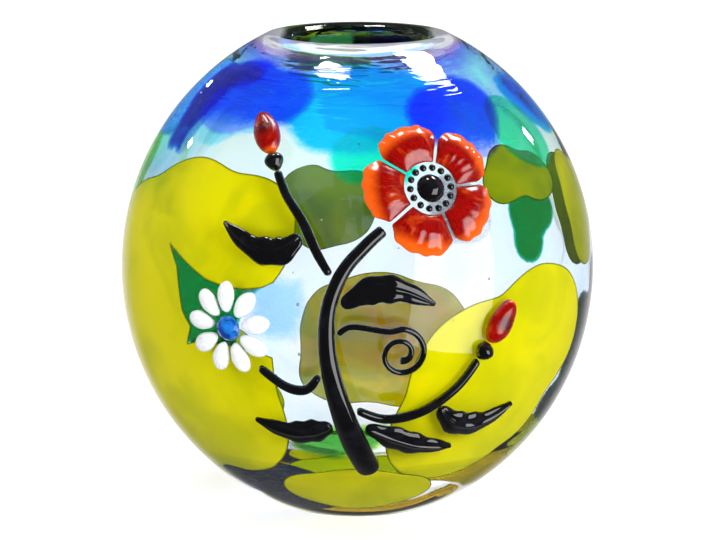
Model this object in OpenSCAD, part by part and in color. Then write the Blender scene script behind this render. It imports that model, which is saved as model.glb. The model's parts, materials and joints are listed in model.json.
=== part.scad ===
// Round cased glass vase with colour plates and applied flowers
// Millimetres. The origin is the centre of the foot, +Z is up and the front faces -Y.
// Places on the glass are given as [azimuth, latitude] in degrees: azimuth 0 is the front,
// growing to +X, and latitude is the slope of the surface normal above the level.
// The colour plates stretch with the bubble, so their radii are degrees of the side's arc.

/* [Body] */
// Widest diameter of the body
body_d = 240; // [190:1:300]
// Height of the widest line above the foot
waist_z = 120; // [112:0.5:124]
// Diameter of the flat that the vase stands on
foot_d = 88; // [70:1:100]

/* [Mouth] */
// Clear diameter of the mouth
mouth_d = 74; // [60:1:84]
// Radius of the rolled lip
lip_r = 6.75; // [6:0.25:8]

/* [Glass layers] */
// Thickness of the clear outer gather
casing_t = 7; // [6:0.25:8]
// Thickness of the colour plates
plate_t = 2; // [1.5:0.25:2.5]
// Thickness of the inner bubble under the plates
liner_t = 4; // [3:0.25:5]
// Thickness of the glass under the inner bubble
base_t = 16; // [13:1:20]
// Radius of the bowl-shaped floor of the hollow
floor_r = 150; // [140:1:170]
// Width of the lavender ring round the neck
collar_w = 9; // [6:0.5:11]

/* [Lime and olive plates] */
// Radius of the large lime plate on the left flank, in degrees
lime_left_deg = 31.1; // [28.5:0.1:32.8]
// Radius of the lime plate on the lower right, in degrees
lime_right_deg = 24.2; // [21.6:0.1:25.9]
// Radius of the lime plate above the foot, in degrees
lime_foot_deg = 12.9; // [11.2:0.1:14.2]
// Radius of the lime plate at the right edge, in degrees
lime_edge_deg = 12.9; // [11.2:0.1:13.8]
// Radius of the lime plate at the back left, in degrees
lime_back_left_deg = 17; // [14:0.1:19.9]
// Radius of the lime plate at the back right, in degrees
lime_back_right_deg = 18.1; // [15.5:0.1:19]
// Radius of the olive plate on the back, upper, in degrees
olive_upper_deg = 12.5; // [10.8:0.1:13.4]
// Radius of the olive plate on the back, lower, in degrees
olive_lower_deg = 19; // [16.5:0.1:19.8]
// Radius of the olive plate on the right shoulder, in degrees
olive_right_deg = 9.5; // [8.2:0.1:10.4]

/* [Green plates] */
// Radius of the green plate in the lime plate's window, in degrees
green_window_deg = 11.2; // [9.5:0.1:12.1]
// Radius of the deep green plate on the right, in degrees
green_right_deg = 8.6; // [7.3:0.1:9.5]
// Radius of the green plate above the foot, in degrees
green_foot_deg = 5.6; // [4.7:0.1:6.5]
// Radius of the green plate behind the neck, in degrees
green_neck_deg = 7.8; // [6.5:0.1:8.6]
// Radius of the spring green plate at the left edge, in degrees
spring_edge_deg = 8.2; // [6.9:0.1:9.1]

/* [Blue plates] */
// Radius of the cobalt plate on the left shoulder, in degrees
cobalt_left_deg = 11.7; // [10.4:0.1:12.5]
// Radius of the navy streak on the left shoulder, in degrees
navy_streak_deg = 6; // [5:0.1:6.6]
// Radius of the azure plate on the front shoulder, in degrees
azure_front_deg = 11.7; // [10.4:0.1:12.5]
// Radius of the cobalt plate on the right shoulder, in degrees
cobalt_right_deg = 10.4; // [9.1:0.1:11.2]
// Radius of the aqua plate below the azure one, in degrees
aqua_deg = 7.3; // [6:0.1:8.2]
// Radius of the teal plate on the right shoulder, in degrees
teal_deg = 8.6; // [7.3:0.1:9.5]
// Radius of the sky blue plate at the left edge, in degrees
sky_left_deg = 8.2; // [6.9:0.1:9.1]
// Radius of the sky blue plate at the right edge, in degrees
sky_right_deg = 7.8; // [6.5:0.1:8.6]
// Radius of the pale blue plate in the lime plate's window, in degrees
sky_window_deg = 9.5; // [8.2:0.1:10.4]
// Radius of the cobalt plate on the back shoulder, in degrees
cobalt_back_deg = 13.8; // [12.1:0.1:15.1]
// Radius of the azure plate at the back left, in degrees
azure_back_deg = 11.7; // [10.4:0.1:12.5]
// Radius of the aqua plate at the back right, in degrees
aqua_back_deg = 11.7; // [10.4:0.1:12.5]
// Radius of the navy plate above the foot, in degrees
navy_foot_deg = 9.5; // [8.2:0.1:10.4]

/* [Opal plates] */
// Radius of the white opal plate on the right, in degrees
opal_deg = 7.3; // [6:0.1:8.2]
// Radius of the smoke plate at the right edge, in degrees
smoke_deg = 8.2; // [6.9:0.1:9.1]

/* [Stems] */
// Width of the main stem at its foot
stem_w = 13; // [10:0.5:14]
// Height of the main stem above the glass
stem_h = 7; // [5:0.5:8]
// Width of the side stems
twig_w = 5; // [4:0.25:6]
// Height of the side stems above the glass
twig_h = 4; // [3:0.25:5]
// Width of the tendril
tendril_w = 3.2; // [2.5:0.1:3.8]
// Height of the tendril above the glass
tendril_h = 2.8; // [2:0.1:3.5]
// Radius of the tendril's outer turn
tendril_r = 13; // [12:0.5:14]

/* [Leaves] */
// Greatest width of a leaf
leaf_w = 14; // [11:0.5:15]
// Height of a leaf at its rib
leaf_h = 4.5; // [3.5:0.25:6]

/* [Poppy] */
// Radius of the poppy over its petals
poppy_r = 33; // [29:0.5:34]
// Radius at which the poppy's petals begin
poppy_inner_r = 13; // [12.5:0.5:15]
// Height of a poppy petal
poppy_h = 5; // [4:0.25:6]
// Gap between two neighbouring petals
petal_gap = 1.2; // [0.8:0.1:2]
// Radius of the poppy's heart
heart_r = 7; // [5.5:0.25:7.5]
// Height of the poppy's heart
heart_h = 5; // [4:0.25:6]
// Radius of a stamen bead
stamen_r = 1.7; // [1.3:0.1:1.9]
// Radius of the ring of stamens
stamen_ring_r = 10.2; // [10:0.1:10.4]

/* [Daisy] */
// Radius of the daisy over its petals
daisy_r = 23; // [20:0.5:24]
// Width of a daisy petal
daisy_petal_w = 9.5; // [7.5:0.25:10.5]
// Height of a daisy petal
daisy_h = 3.8; // [3:0.25:4.5]
// Radius of the daisy's heart
daisy_heart_r = 6.5; // [5:0.25:7]
// Height of the daisy's heart
daisy_heart_h = 4.6; // [3.5:0.25:5.5]

/* [Buds] */
// Width of a bud
bud_w = 13; // [10:0.5:14]
// Length of a bud
bud_l = 23; // [19:0.5:24]
// Height of a bud above the glass
bud_h = 7; // [5.5:0.25:8]
// Length of the calyx behind a bud
calyx_l = 9; // [7:0.5:10]
// Width of the calyx behind a bud
calyx_w = 10; // [8:0.5:11]

/* [Hidden] */
$fn = 96;

// How far an applied piece stands off the glass
seat_gap = 0.15;
// Gap between two applied pieces that meet end to end
join_gap = 0.4;
// Clearance between the plates' layer and the glass on both sides of it
layer_gap = 0.1;
// Thickness of a poppy petal at its rim
rim_t = 1.2;
// How far a poppy petal's surface rises and falls
frill_h = 0.5;
// How far a cutting shape runs past what it cuts
overrun = 20;

body_r = body_d / 2;
foot_r = foot_d / 2;
// The side is one arc, through the widest line and the foot, with its centre past the axis
side_in = (foot_r * foot_r + waist_z * waist_z - body_r * body_r) / (body_d - foot_d);
side_r = body_r + side_in;
plates_in = casing_t + plate_t;
wall_t = plates_in + liner_t;
lip_ring_r = mouth_d / 2 + lip_r;
lip_run = side_r - wall_t / 2;
lip_z = waist_z + sqrt(pow(lip_run, 2) - pow(lip_ring_r + side_in, 2));
reach = body_d + overrun;
// Angles of the side's arc from the widest line up to the lip and down to the foot
rise = acos((lip_ring_r + side_in) / lip_run);
drop = asin(waist_z / side_r);
// The same angles, and the arc's radius as a share of the body's, on the body that places are given for
plan_rise = 63.42;
plan_drop = 64.7;
plan_arc_share = 1.1061;
// How deep a plate's column goes under the wall, as a share of the plate's size
column_share = 0.62;
// Straight runs in a full turn of the inner bubble's outline
liner_runs = 144;
// Step along a path over which its heading is taken, as a share of the path
step_share = 0.02;

// Latitudes stretch with the side: the arc's angle at a latitude, and the latitude at an angle
function stretch_share(up) = up > 0 ? rise / plan_rise : drop / plan_drop;
function tilt(lat) = lat * stretch_share(lat);
function untilt(angle) = angle / stretch_share(angle);
// Radius, height and place of the outer surface at a latitude, raised by h
function surf_r(lat, h = 0) = (side_r + h) * cos(tilt(lat)) - side_in;
function surf_z(lat, h = 0) = waist_z + (side_r + h) * sin(tilt(lat));
function on_body(p, h = 0) = let (r = surf_r(p[1], h)) [r * sin(p[0]), -r * cos(p[0]), surf_z(p[1], h)];
// The length of a plate's radius, given in degrees of the arc
function span(size) = size * PI / 180 * body_r * plan_arc_share;
// The angle that an arc spans on a circle
function turn(arc, r) = arc / r * 180 / PI;
// The place that lies so far east and north of another
function shifted(p, east, north) = let (lat = untilt(tilt(p[1]) + turn(north, side_r)))
    [p[0] + turn(east, surf_r(lat)), lat];
// The place at a distance and a heading from another, the heading growing from east to north
function around(p, r, angle) = shifted(p, r * cos(angle), r * sin(angle));
// East and north run, in millimetres, from one place to another
function run(a, b) = let (lat = (a[1] + b[1]) / 2)
    [(b[0] - a[0]) * surf_r(lat), (tilt(b[1]) - tilt(a[1])) * side_r] * PI / 180;

// Smooth curve through all points, for u from 0 to 1
function spline(p, u) = let (n = len(p) - 1, k = min(floor(u * n), n - 1), f = u * n - k,
    a = p[max(k - 1, 0)], b = p[k], c = p[k + 1], d = p[min(k + 2, n)])
    b + f / 2 * ((c - a) + f * ((2 * a - 5 * b + 4 * c - d) + f * (3 * (b - c) + d - a)));
// The east and north run of a path from one share of it to another
function stretch(p, from, to) = run(spline(p, from), spline(p, to));
function path_length(p, n = 24) = [for (i = 1, s = norm(stretch(p, 0, 1 / n)); i <= n;
    s = s + (i < n ? norm(stretch(p, i / n, (i + 1) / n)) : 0), i = i + 1) s][n - 1];

// Half outline of the body, taken in by t all round
module body_2d(t) {
    intersection() {
        translate([-side_in, waist_z]) circle(side_r - t);
        square([reach, reach * 2]);
    }
}

// Half outline of everything inside depth t, with the hollow's bowl-shaped floor
module core_2d(t) {
    intersection() {
        body_2d(t);
        translate([0, base_t + floor_r]) circle(floor_r + plates_in - t);
    }
}

// Outline of the lip, grown by clear all round
module lip_2d(clear = 0) {
    translate([lip_ring_r, lip_z]) circle(lip_r + clear);
}

module mouth_2d() {
    translate([0, lip_z - lip_r - overrun]) square([lip_ring_r, reach]);
}

// Half outline of the layer between two depths, clear of the lip
module layer_2d(t_out, t_in) {
    difference() {
        core_2d(t_out);
        core_2d(t_in);
        mouth_2d();
        lip_2d(layer_gap);
    }
}

// Half outline of the layer that all colour plates lie in
module plates_2d() {
    layer_2d(casing_t + layer_gap, plates_in - layer_gap);
}

// The ring that the collar fills
module collar_2d() {
    translate([lip_ring_r, waist_z]) square([collar_w, reach]);
}

module plate_layer() {
    rotate_extrude() plates_2d();
}

// Stands its children on the glass, with x to the east and y to the north
module at(p) {
    translate(on_body(p)) rotate([0, 0, p[0]]) rotate([90 - tilt(p[1]), 0, 0]) children();
}

// Outline made of round lobes, each [east, north, radius] in shares of the size
module lobes(size, shares) {
    for (s = shares) translate([s[0], s[1]] * span(size)) circle(s[2] * span(size));
}

// Outline made of corners, each [east, north] in shares of the size
module corners(size, shares) {
    polygon(shares * span(size));
}

// Column through the layer at a place, in the outline of its children, deep enough for a plate's size
module column(p, size) {
    depth = plates_in + span(size) * column_share;
    at(p) translate([0, 0, -depth]) linear_extrude(depth + overrun) children();
}

// Column's share of the plate layer
module plate() {
    intersection() {
        plate_layer();
        children();
    }
}

/* Colours */
lime = [0.80, 0.78, 0.02];
olive = [0.48, 0.47, 0.04];
green = [0.02, 0.42, 0.14];
spring = [0.60, 0.86, 0.36];
cobalt = [0.03, 0.16, 0.85];
navy = [0.04, 0.06, 0.30];
azure = [0.10, 0.62, 0.92];
aqua = [0.05, 0.85, 0.72];
teal = [0.10, 0.66, 0.50];
sky = [0.62, 0.84, 0.96];
lavender = [0.80, 0.80, 0.96];
opal = [0.86, 0.90, 0.92];
smoke = [0.34, 0.36, 0.42];
jet = [0.03, 0.03, 0.04];
red = [0.72, 0.05, 0.02];
white = [0.96, 0.96, 0.98];
blue = [0.08, 0.38, 0.80];
clear = [0.88, 0.95, 0.98, 0.35];

/* Clear glass */
module casing() color(clear) rotate_extrude() {
    difference() {
        body_2d(0);
        core_2d(casing_t);
        mouth_2d();
    }
    lip_2d();
}

// The inner bubble, turned from an outline of short straight runs
module run_2d(r) {
    polygon([for (k = [0 : liner_runs - 1]) r * [cos(360 * k / liner_runs), sin(360 * k / liner_runs)]]);
}

module bubble_2d(t) {
    intersection() {
        translate([-side_in, waist_z]) run_2d(side_r - t);
        translate([0, base_t + floor_r]) run_2d(floor_r + plates_in - t);
        square([reach, reach * 2]);
    }
}

module liner() color(clear) rotate_extrude() difference() {
    bubble_2d(plates_in);
    bubble_2d(wall_t);
    mouth_2d();
    lip_2d(layer_gap);
}

// Clear glass that fills the layer between the plates
module first_gather() color(clear) difference() {
    rotate_extrude() difference() {
        plates_2d();
        collar_2d();
    }
    all_columns();
    crack_columns();
}

/* Columns of the plates: each place in degrees, each outline in shares of its plate's size */
lime_left_at = [-56, -10];
lime_left_shares = [[-0.12, -0.02, 1], [0.56, 0.66, 0.41], [0.28, -0.42, 0.55], [0.16, 0.5, 0.64]];
window_shares = [[0.07, 0.63], [0.17, 0.5], [0.21, 0.35], [0.24, 0.22], [0.31, 0.12], [0.25, -0.01],
    [0.39, 0.03], [0.51, 0.03], [0.66, 0.01], [0.79, -0.02], [0.88, -0.06], [1.3, -0.07],
    [1.3, 0.62], [0.97, 0.62], [0.96, 0.5], [0.92, 0.44], [0.84, 0.4], [0.71, 0.39],
    [0.6, 0.4], [0.44, 0.44], [0.27, 0.53]];
module lime_left_column() column(lime_left_at, lime_left_deg) difference() {
    lobes(lime_left_deg, lime_left_shares);
    corners(lime_left_deg, window_shares);
}

lime_right_at = [38, -18];
lime_right_shares = [[0.42, 0.3, 0.63], [-0.12, 0.04, 0.7], [-0.22, -0.42, 0.64], [0.18, -0.28, 0.5]];
module lime_right_column() column(lime_right_at, lime_right_deg)
    lobes(lime_right_deg, lime_right_shares);

lime_foot_at = [0, -51];
lime_foot_shares = [[0, -0.10, 0.86], [-0.52, -0.12, 0.62], [0.56, -0.16, 0.58]];
module lime_foot_column() column(lime_foot_at, lime_foot_deg)
    lobes(lime_foot_deg, lime_foot_shares);

lime_edge_at = [77, 17];
lime_edge_shares = [[0, 0.42, 0.46], [0, 0, 0.62], [-0.12, -0.5, 0.5], [0.35, 0.1, 0.56]];
module lime_edge_column() column(lime_edge_at, lime_edge_deg)
    lobes(lime_edge_deg, lime_edge_shares);

lime_back_left_at = [-120, -38];
lime_back_left_shares = [[0, 0, 0.82], [0.35, -0.35, 0.60], [-0.42, 0.30, 0.52]];
module lime_back_left_column() column(lime_back_left_at, lime_back_left_deg)
    lobes(lime_back_left_deg, lime_back_left_shares);

lime_back_right_at = [120, -33];
lime_back_right_shares = [[0, 0, 0.80], [-0.34, -0.42, 0.58], [0.30, 0.42, 0.48]];
module lime_back_right_column() column(lime_back_right_at, lime_back_right_deg)
    lobes(lime_back_right_deg, lime_back_right_shares);

olive_upper_at = [-170, 6];
olive_upper_shares = [[-0.30, -0.12, 0.74], [0.36, 0.20, 0.62], [0.10, -0.42, 0.52], [-0.62, 0.34, 0.34]];
module olive_upper_column() column(olive_upper_at, olive_upper_deg)
    lobes(olive_upper_deg, olive_upper_shares);

olive_lower_at = [172, -31];
olive_lower_shares = [[0, 0, 0.89], [0.42, 0.1, 0.66], [-0.45, 0.05, 0.74], [0.4, -0.3, 0.62], [-0.35, -0.32, 0.6]];
module olive_lower_column() column(olive_lower_at, olive_lower_deg)
    lobes(olive_lower_deg, olive_lower_shares);

olive_right_at = [50, 27];
olive_right_shares = [[-0.2, 0.16, 0.6], [-0.62, -0.1, 0.44], [0.5, -0.06, 0.56], [0.86, -0.16, 0.34]];
module olive_right_column() column(olive_right_at, olive_right_deg)
    lobes(olive_right_deg, olive_right_shares);

green_window_at = [-43, 3];
green_window_shares = [[-1, 1.15], [-0.8, 0.5], [-0.55, -0.2], [-0.3, -0.95], [0.75, -0.95], [0.8, -0.75],
    [0.92, -0.33], [1.12, 0.04], [1.4, 0.3], [1.5, 0.45], [0.5, 0.6], [-0.2, 0.95]];
module green_window_column() column(green_window_at, green_window_deg)
    corners(green_window_deg, green_window_shares);

green_right_at = [50, 16];
green_right_shares = [[-0.05, 0.3, 0.62], [0.42, 0.34, 0.5], [-0.2, -0.4, 0.46]];
module green_right_column() column(green_right_at, green_right_deg)
    lobes(green_right_deg, green_right_shares);

green_foot_at = [-7, -32];
green_foot_shares = [[-0.90, 0.10, 0.62], [0, 0, 0.78], [1.00, 0.16, 0.64], [1.70, 0.36, 0.40]];
module green_foot_column() column(green_foot_at, green_foot_deg)
    lobes(green_foot_deg, green_foot_shares);

green_neck_at = [-166, 56];
green_neck_shares = [[0, 0, 0.80], [-0.60, 0.10, 0.55], [0.62, -0.12, 0.50]];
module green_neck_column() column(green_neck_at, green_neck_deg)
    lobes(green_neck_deg, green_neck_shares);

spring_edge_at = [-92, 24];
spring_edge_shares = [[0, 0.20, 0.70], [0.10, -0.55, 0.62], [-0.40, 0.30, 0.60]];
module spring_edge_column() column(spring_edge_at, spring_edge_deg)
    lobes(spring_edge_deg, spring_edge_shares);

cobalt_left_at = [-50, 49];
cobalt_left_shares = [[-0.62, -0.28, 0.42], [0, -0.1, 0.8], [0.78, 0.06, 0.62], [-0.25, 0.16, 0.54]];
module cobalt_left_column() column(cobalt_left_at, cobalt_left_deg)
    lobes(cobalt_left_deg, cobalt_left_shares);

navy_streak_at = [-66, 46];
navy_streak_shares = [[1.05, 1.2, 0.45], [0.35, 1, 0.62], [-0.45, 0.6, 0.7], [-0.55, -0.15, 0.62],
    [-0.35, -1.05, 0.52], [-0.35, -1.9, 0.42]];
module navy_streak_column() column(navy_streak_at, navy_streak_deg)
    lobes(navy_streak_deg, navy_streak_shares);

azure_front_at = [0, 46];
azure_front_shares = [[-0.86, 0.30, 0.60], [0, 0, 0.90], [0.84, 0.22, 0.74], [0.10, 0.40, 0.66],
    [-0.52, -0.20, 0.62]];
module azure_front_column() column(azure_front_at, azure_front_deg)
    lobes(azure_front_deg, azure_front_shares);

cobalt_right_at = [36, 43];
cobalt_right_shares = [[-0.34, 0.04, 0.70], [0.36, 0.24, 0.72], [0.20, -0.30, 0.62]];
module cobalt_right_column() column(cobalt_right_at, cobalt_right_deg)
    lobes(cobalt_right_deg, cobalt_right_shares);

aqua_spot_at = [4, 34];
aqua_spot_shares = [[-0.30, 0.10, 0.82], [0.56, -0.06, 0.72], [0.10, 0.30, 0.70]];
module aqua_spot_column() column(aqua_spot_at, aqua_deg) lobes(aqua_deg, aqua_spot_shares);

teal_spot_at = [60, 37];
teal_spot_shares = [[0, 0, 0.86], [0.36, -0.42, 0.62], [-0.12, 0.40, 0.60]];
module teal_spot_column() column(teal_spot_at, teal_deg) lobes(teal_deg, teal_spot_shares);

sky_left_at = [-86, 43];
sky_left_shares = [[0, 0, 0.80], [-0.42, -0.30, 0.62], [0.20, 0.42, 0.55]];
module sky_left_column() column(sky_left_at, sky_left_deg) lobes(sky_left_deg, sky_left_shares);

sky_right_at = [86, 42];
sky_right_shares = [[0, 0, 0.80], [0.30, -0.52, 0.60], [-0.34, 0.40, 0.52]];
module sky_right_column() column(sky_right_at, sky_right_deg)
    lobes(sky_right_deg, sky_right_shares);

sky_window_at = [-21, 1];
sky_window_shares = [[-0.94, 0.72], [0.66, 0.6], [0.74, -0.1], [0.5, -0.72], [-0.66, -0.66], [-0.5, -0.02]];
module sky_window_column() column(sky_window_at, sky_window_deg)
    corners(sky_window_deg, sky_window_shares);

cobalt_back_at = [168, 36];
cobalt_back_shares = [[0, 0, 0.82], [0.62, 0.10, 0.60], [-0.66, 0.06, 0.62]];
module cobalt_back_column() column(cobalt_back_at, cobalt_back_deg)
    lobes(cobalt_back_deg, cobalt_back_shares);

azure_back_at = [-128, 38];
azure_back_shares = [[0, 0, 0.86], [0.66, 0.06, 0.62], [-0.66, -0.06, 0.64]];
module azure_back_column() column(azure_back_at, azure_back_deg)
    lobes(azure_back_deg, azure_back_shares);

aqua_back_at = [122, 38];
aqua_back_shares = [[0, 0, 0.84], [0.60, -0.16, 0.60], [-0.52, 0.10, 0.62]];
module aqua_back_column() column(aqua_back_at, aqua_back_deg)
    lobes(aqua_back_deg, aqua_back_shares);

navy_foot_at = [-38, -54];
navy_foot_shares = [[0, 0, 0.84], [-0.72, 0.16, 0.62], [0.5, -0.1, 0.5], [0.1, -0.5, 0.7]];
module navy_foot_column() column(navy_foot_at, navy_foot_deg)
    lobes(navy_foot_deg, navy_foot_shares);

opal_at = [27, 22];
opal_shares = [[-0.10, 0.20, 0.72], [0.32, -0.36, 0.62], [-0.32, -0.46, 0.46]];
module opal_right_column() column(opal_at, opal_deg) lobes(opal_deg, opal_shares);

smoke_at = [78, -17];
smoke_shares = [[0, 0.9, 0.62], [0, 0, 0.7], [0.16, -0.9, 0.62], [0.52, 0.1, 0.5], [-0.5, -1.35, 0.55]];
module smoke_right_column() column(smoke_at, smoke_deg) lobes(smoke_deg, smoke_shares);

/* Plates: each gives way to the columns that its module names after its own */
module lime_left() color(lime) plate() difference() {
    lime_left_column();
    green_foot_column();
    navy_foot_column();
}
module lime_right() color(lime) plate() lime_right_column();
module lime_foot() color(lime) plate() difference() {
    lime_foot_column();
    lime_right_column();
    lime_left_column();
}
module lime_edge() color(lime) plate() lime_edge_column();
module lime_back_left() color(lime) plate() difference() {
    lime_back_left_column();
    lime_left_column();
}
module lime_back_right() color(lime) plate() difference() {
    lime_back_right_column();
    lime_edge_column();
    lime_right_column();
}
module olive_upper() color(olive) plate() difference() {
    olive_upper_column();
    lime_back_left_column();
}
module olive_lower() color(olive) plate() difference() {
    olive_lower_column();
    lime_back_right_column();
    lime_back_left_column();
    olive_upper_column();
}
module olive_right() color(olive) plate() olive_right_column();
module green_window() color(green) plate() difference() {
    green_window_column();
    lime_left_column();
}
module green_right() color(green) plate() difference() {
    green_right_column();
    olive_right_column();
    lime_right_column();
}
module green_foot() color(green) plate() difference() {
    green_foot_column();
    lime_foot_column();
    lime_right_column();
}
module green_neck() color(green) plate() green_neck_column();
module spring_edge() color(spring) plate() difference() {
    spring_edge_column();
    navy_streak_column();
    lime_left_column();
}
module navy_streak() color(navy) plate() difference() {
    navy_streak_column();
    lime_left_column();
}
module cobalt_left() color(cobalt) plate() difference() {
    cobalt_left_column();
    navy_streak_column();
    lime_left_column();
}
module aqua_spot() color(aqua) plate() aqua_spot_column();
module cobalt_right() color(cobalt) plate() difference() {
    cobalt_right_column();
    olive_right_column();
    aqua_spot_column();
}
module azure_front() color(azure) plate() difference() {
    azure_front_column();
    cobalt_left_column();
    cobalt_right_column();
    aqua_spot_column();
    navy_streak_column();
}
module teal_spot() color(teal) plate() difference() {
    teal_spot_column();
    olive_right_column();
    cobalt_right_column();
    lime_edge_column();
}
module sky_left() color(azure) plate() difference() {
    sky_left_column();
    cobalt_left_column();
    spring_edge_column();
    navy_streak_column();
    lime_left_column();
}
module sky_right() color(azure) plate() difference() {
    sky_right_column();
    teal_spot_column();
    lime_edge_column();
}
module sky_window() color(sky) plate() difference() {
    sky_window_column();
    green_window_column();
    lime_left_column();
}
module cobalt_back() color(cobalt) plate() difference() {
    cobalt_back_column();
    green_neck_column();
    olive_upper_column();
}
module azure_back() color(azure) plate() difference() {
    azure_back_column();
    sky_left_column();
    spring_edge_column();
    cobalt_back_column();
    green_neck_column();
    olive_upper_column();
    lime_back_left_column();
}
module aqua_back() color(aqua) plate() difference() {
    aqua_back_column();
    sky_right_column();
    cobalt_back_column();
    lime_edge_column();
}
module navy_foot() color(navy) plate() difference() {
    navy_foot_column();
    lime_foot_column();
}
module opal_right() color(opal) plate() difference() {
    opal_right_column();
    olive_right_column();
    green_right_column();
    cobalt_right_column();
}
module smoke_right() color(smoke) plate() difference() {
    smoke_right_column();
    lime_right_column();
    lime_edge_column();
    lime_back_right_column();
}
module lavender_collar() color(lavender) difference() {
    rotate_extrude() intersection() {
        plates_2d();
        collar_2d();
    }
    green_neck_column();
    azure_front_column();
    navy_streak_column();
    cobalt_left_column();
    cobalt_right_column();
    cobalt_back_column();
    azure_back_column();
    aqua_back_column();
    sky_left_column();
    sky_right_column();
    teal_spot_column();
}

// Places where plates nearly meet, so that no clear glass gets between, each with its radius in degrees
cracks = [[-44.4, -45.4, 3], [47.4, 35.2, 2.4]];
module crack_columns() {
    for (c = cracks) column([c[0], c[1]], c[2]) circle(span(c[2]));
}

module all_columns() {
    lime_left_column();
    lime_right_column();
    lime_foot_column();
    lime_edge_column();
    lime_back_left_column();
    lime_back_right_column();
    olive_upper_column();
    olive_lower_column();
    olive_right_column();
    green_window_column();
    green_right_column();
    green_foot_column();
    green_neck_column();
    spring_edge_column();
    navy_streak_column();
    cobalt_left_column();
    aqua_spot_column();
    cobalt_right_column();
    azure_front_column();
    teal_spot_column();
    sky_left_column();
    sky_right_column();
    sky_window_column();
    cobalt_back_column();
    azure_back_column();
    aqua_back_column();
    navy_foot_column();
    opal_right_column();
    smoke_right_column();
}

/* Cross sections of hot-laid glass, each point [side, height] in shares of half width and height */
// Round section cut flat below, where it meets the glass at an angle under the level
function round_shares(under, n) = [for (k = [0 : n]) let (f = -under + (180 + 2 * under) * k / n)
    [cos(f), (sin(f) + sin(under)) / (1 + sin(under))]];
bead_under = 30;
bead_sides = 9;
dome_under = 20;
dome_sides = 10;
bead_shares = concat(round_shares(bead_under, bead_sides), [[0, 0]]);
dome_shares = concat(round_shares(dome_under, dome_sides), [[-0.47, 0], [0, 0], [0.47, 0]]);
leaf_shares = [[0.96, 0], [1, 0.22], [0.84, 0.56], [0.50, 0.70], [0.18, 0.62], [0, 1],
    [-0.18, 0.62], [-0.50, 0.70], [-0.84, 0.56], [-1, 0.22], [-0.96, 0], [-0.5, 0], [0, 0], [0.5, 0]];
// Least share of the width and height that is left at the ends
tip_share = 0.22;

// Closed skin over rings of n points each, with a middle point at both ends
module skin(rings, first, last) {
    n = len(rings[0]);
    m = len(rings);
    polyhedron(
        points = concat([for (ring = rings) each ring], [first, last]),
        faces = concat(
            [for (i = [0 : m - 2], k = [0 : n - 1]) let (a = i * n + k, b = i * n + (k + 1) % n)
                each [[a, b, b + n], [a, b + n, a + n]]],
            [for (k = [0 : n - 1]) [m * n, (k + 1) % n, k]],
            [for (k = [0 : n - 1]) [m * n + 1, (m - 1) * n + k, (m - 1) * n + (k + 1) % n]]));
}

// Glass laid along a path on the body. width_shares are shares of w, spread evenly from end to end
module laid(path, w, h, width_shares, section_shares, rings, frill_share = 0, frills = 0) {
    l = path_length(path);
    us = [for (i = [0 : rings]) (i / rings + (1 - cos(180 * i / rings)) / 2) / 2];
    function half(u) = w / 2 * spline(width_shares, u) * (1 + frill_share * sin(360 * frills * u));
    function cap(u) = let (s = min(u, 1 - u) * l / (w / 2 * spline(width_shares, u)))
        sqrt(max(1 - pow(1 - min(s, 1), 2), tip_share * tip_share));
    function side(u) = let (d = stretch(path, max(u - step_share, 0), min(u + step_share, 1)))
        [-d[1], d[0]] / norm(d);
    function tall(u) = h * cap(u) * min(1, (1 + half(u) * 2 / w) / 2);
    function end(u) = on_body(spline(path, u), seat_gap + h * tip_share / 3);
    function ring(u) = let (c = spline(path, u), reach = side(u) * half(u) * cap(u))
        [for (q = section_shares) let (place = shifted(c, reach[0] * q[0], reach[1] * q[0]))
            on_body(place, seat_gap + tall(u) * q[1])];
    skin([for (u = us) ring(u)], end(0), end(1));
}

// Round drop of glass with a flat underside
module drop(p, r, h) {
    ball_r = (r * r + h * h) / (2 * h);
    at(p) translate([0, 0, seat_gap]) rotate_extrude() intersection() {
        translate([0, h - ball_r]) circle(ball_r);
        square([r, h]);
    }
}

/* Stems: paths are places in degrees */
poppy_at = [19, 26];
poppy_petals = 5;
// Heading of the first poppy petal
petal_turn = 37;
daisy_at = [-31, -4];
// Where the main stem ends, between two petals, as a share of the poppy's radius and as a heading
notch_share = 0.96;
notch_turn = petal_turn + 180;
// Heading at which the daisy's stem reaches it
daisy_notch_turn = -48;
// Place beside a stem at u along it, on its left for side 1 and its right for side -1, clear by own
function beside(path, shares, w, u, side, own) = let (c = spline(path, u),
    d = stretch(path, u - step_share, u + step_share),
    off = side * (w / 2 * spline(shares, u) + join_gap + own) / norm(d))
    shifted(c, -d[1] * off, d[0] * off);
// Widths of the main stem and of the side stems from end to end, as shares of their greatest
taper_shares = [0.90, 1, 0.86, 0.70, 0.60, 0.54, 0.50, 0.46];
twig_shares = [0.80, 0.95, 1, 0.9, 0.85];
// How far a side stem and a leaf clear the stem that they leave, as shares of their own widths
twig_lean_share = 0.16;
leaf_lean_share = 0.08;
function from_main(u, side, own) = beside(main_path, taper_shares, stem_w, u, side, own);
function from_twig(path, u, side, own) = beside(path, twig_shares, twig_w, u, side, own);
main_path = [[4, -38], [-0.2, -30], [-4, -20], [-6.6, -9], [-6.6, 1], [-3.4, 9], [1.8, 14.4],
    around(poppy_at, poppy_r * notch_share, notch_turn)];
daisy_path = [from_main(0.385, 1, twig_w * twig_lean_share), [-12, -16], [-17, -15.6],
    around(daisy_at, daisy_r + join_gap, daisy_notch_turn)];
right_bud_path = [from_main(0.265, -1, twig_w * twig_lean_share), [7, -23], [16, -21.5], [24, -16.5],
    [29, -10.5]];
left_bud_path = [from_main(0.686, 1, twig_w * twig_lean_share), [-9.4, 13], [-13, 19], [-18, 24.5],
    [-21.5, 29.5]];
tendril_at = [10, -8];
tendril_turns = 1.6;
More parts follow.
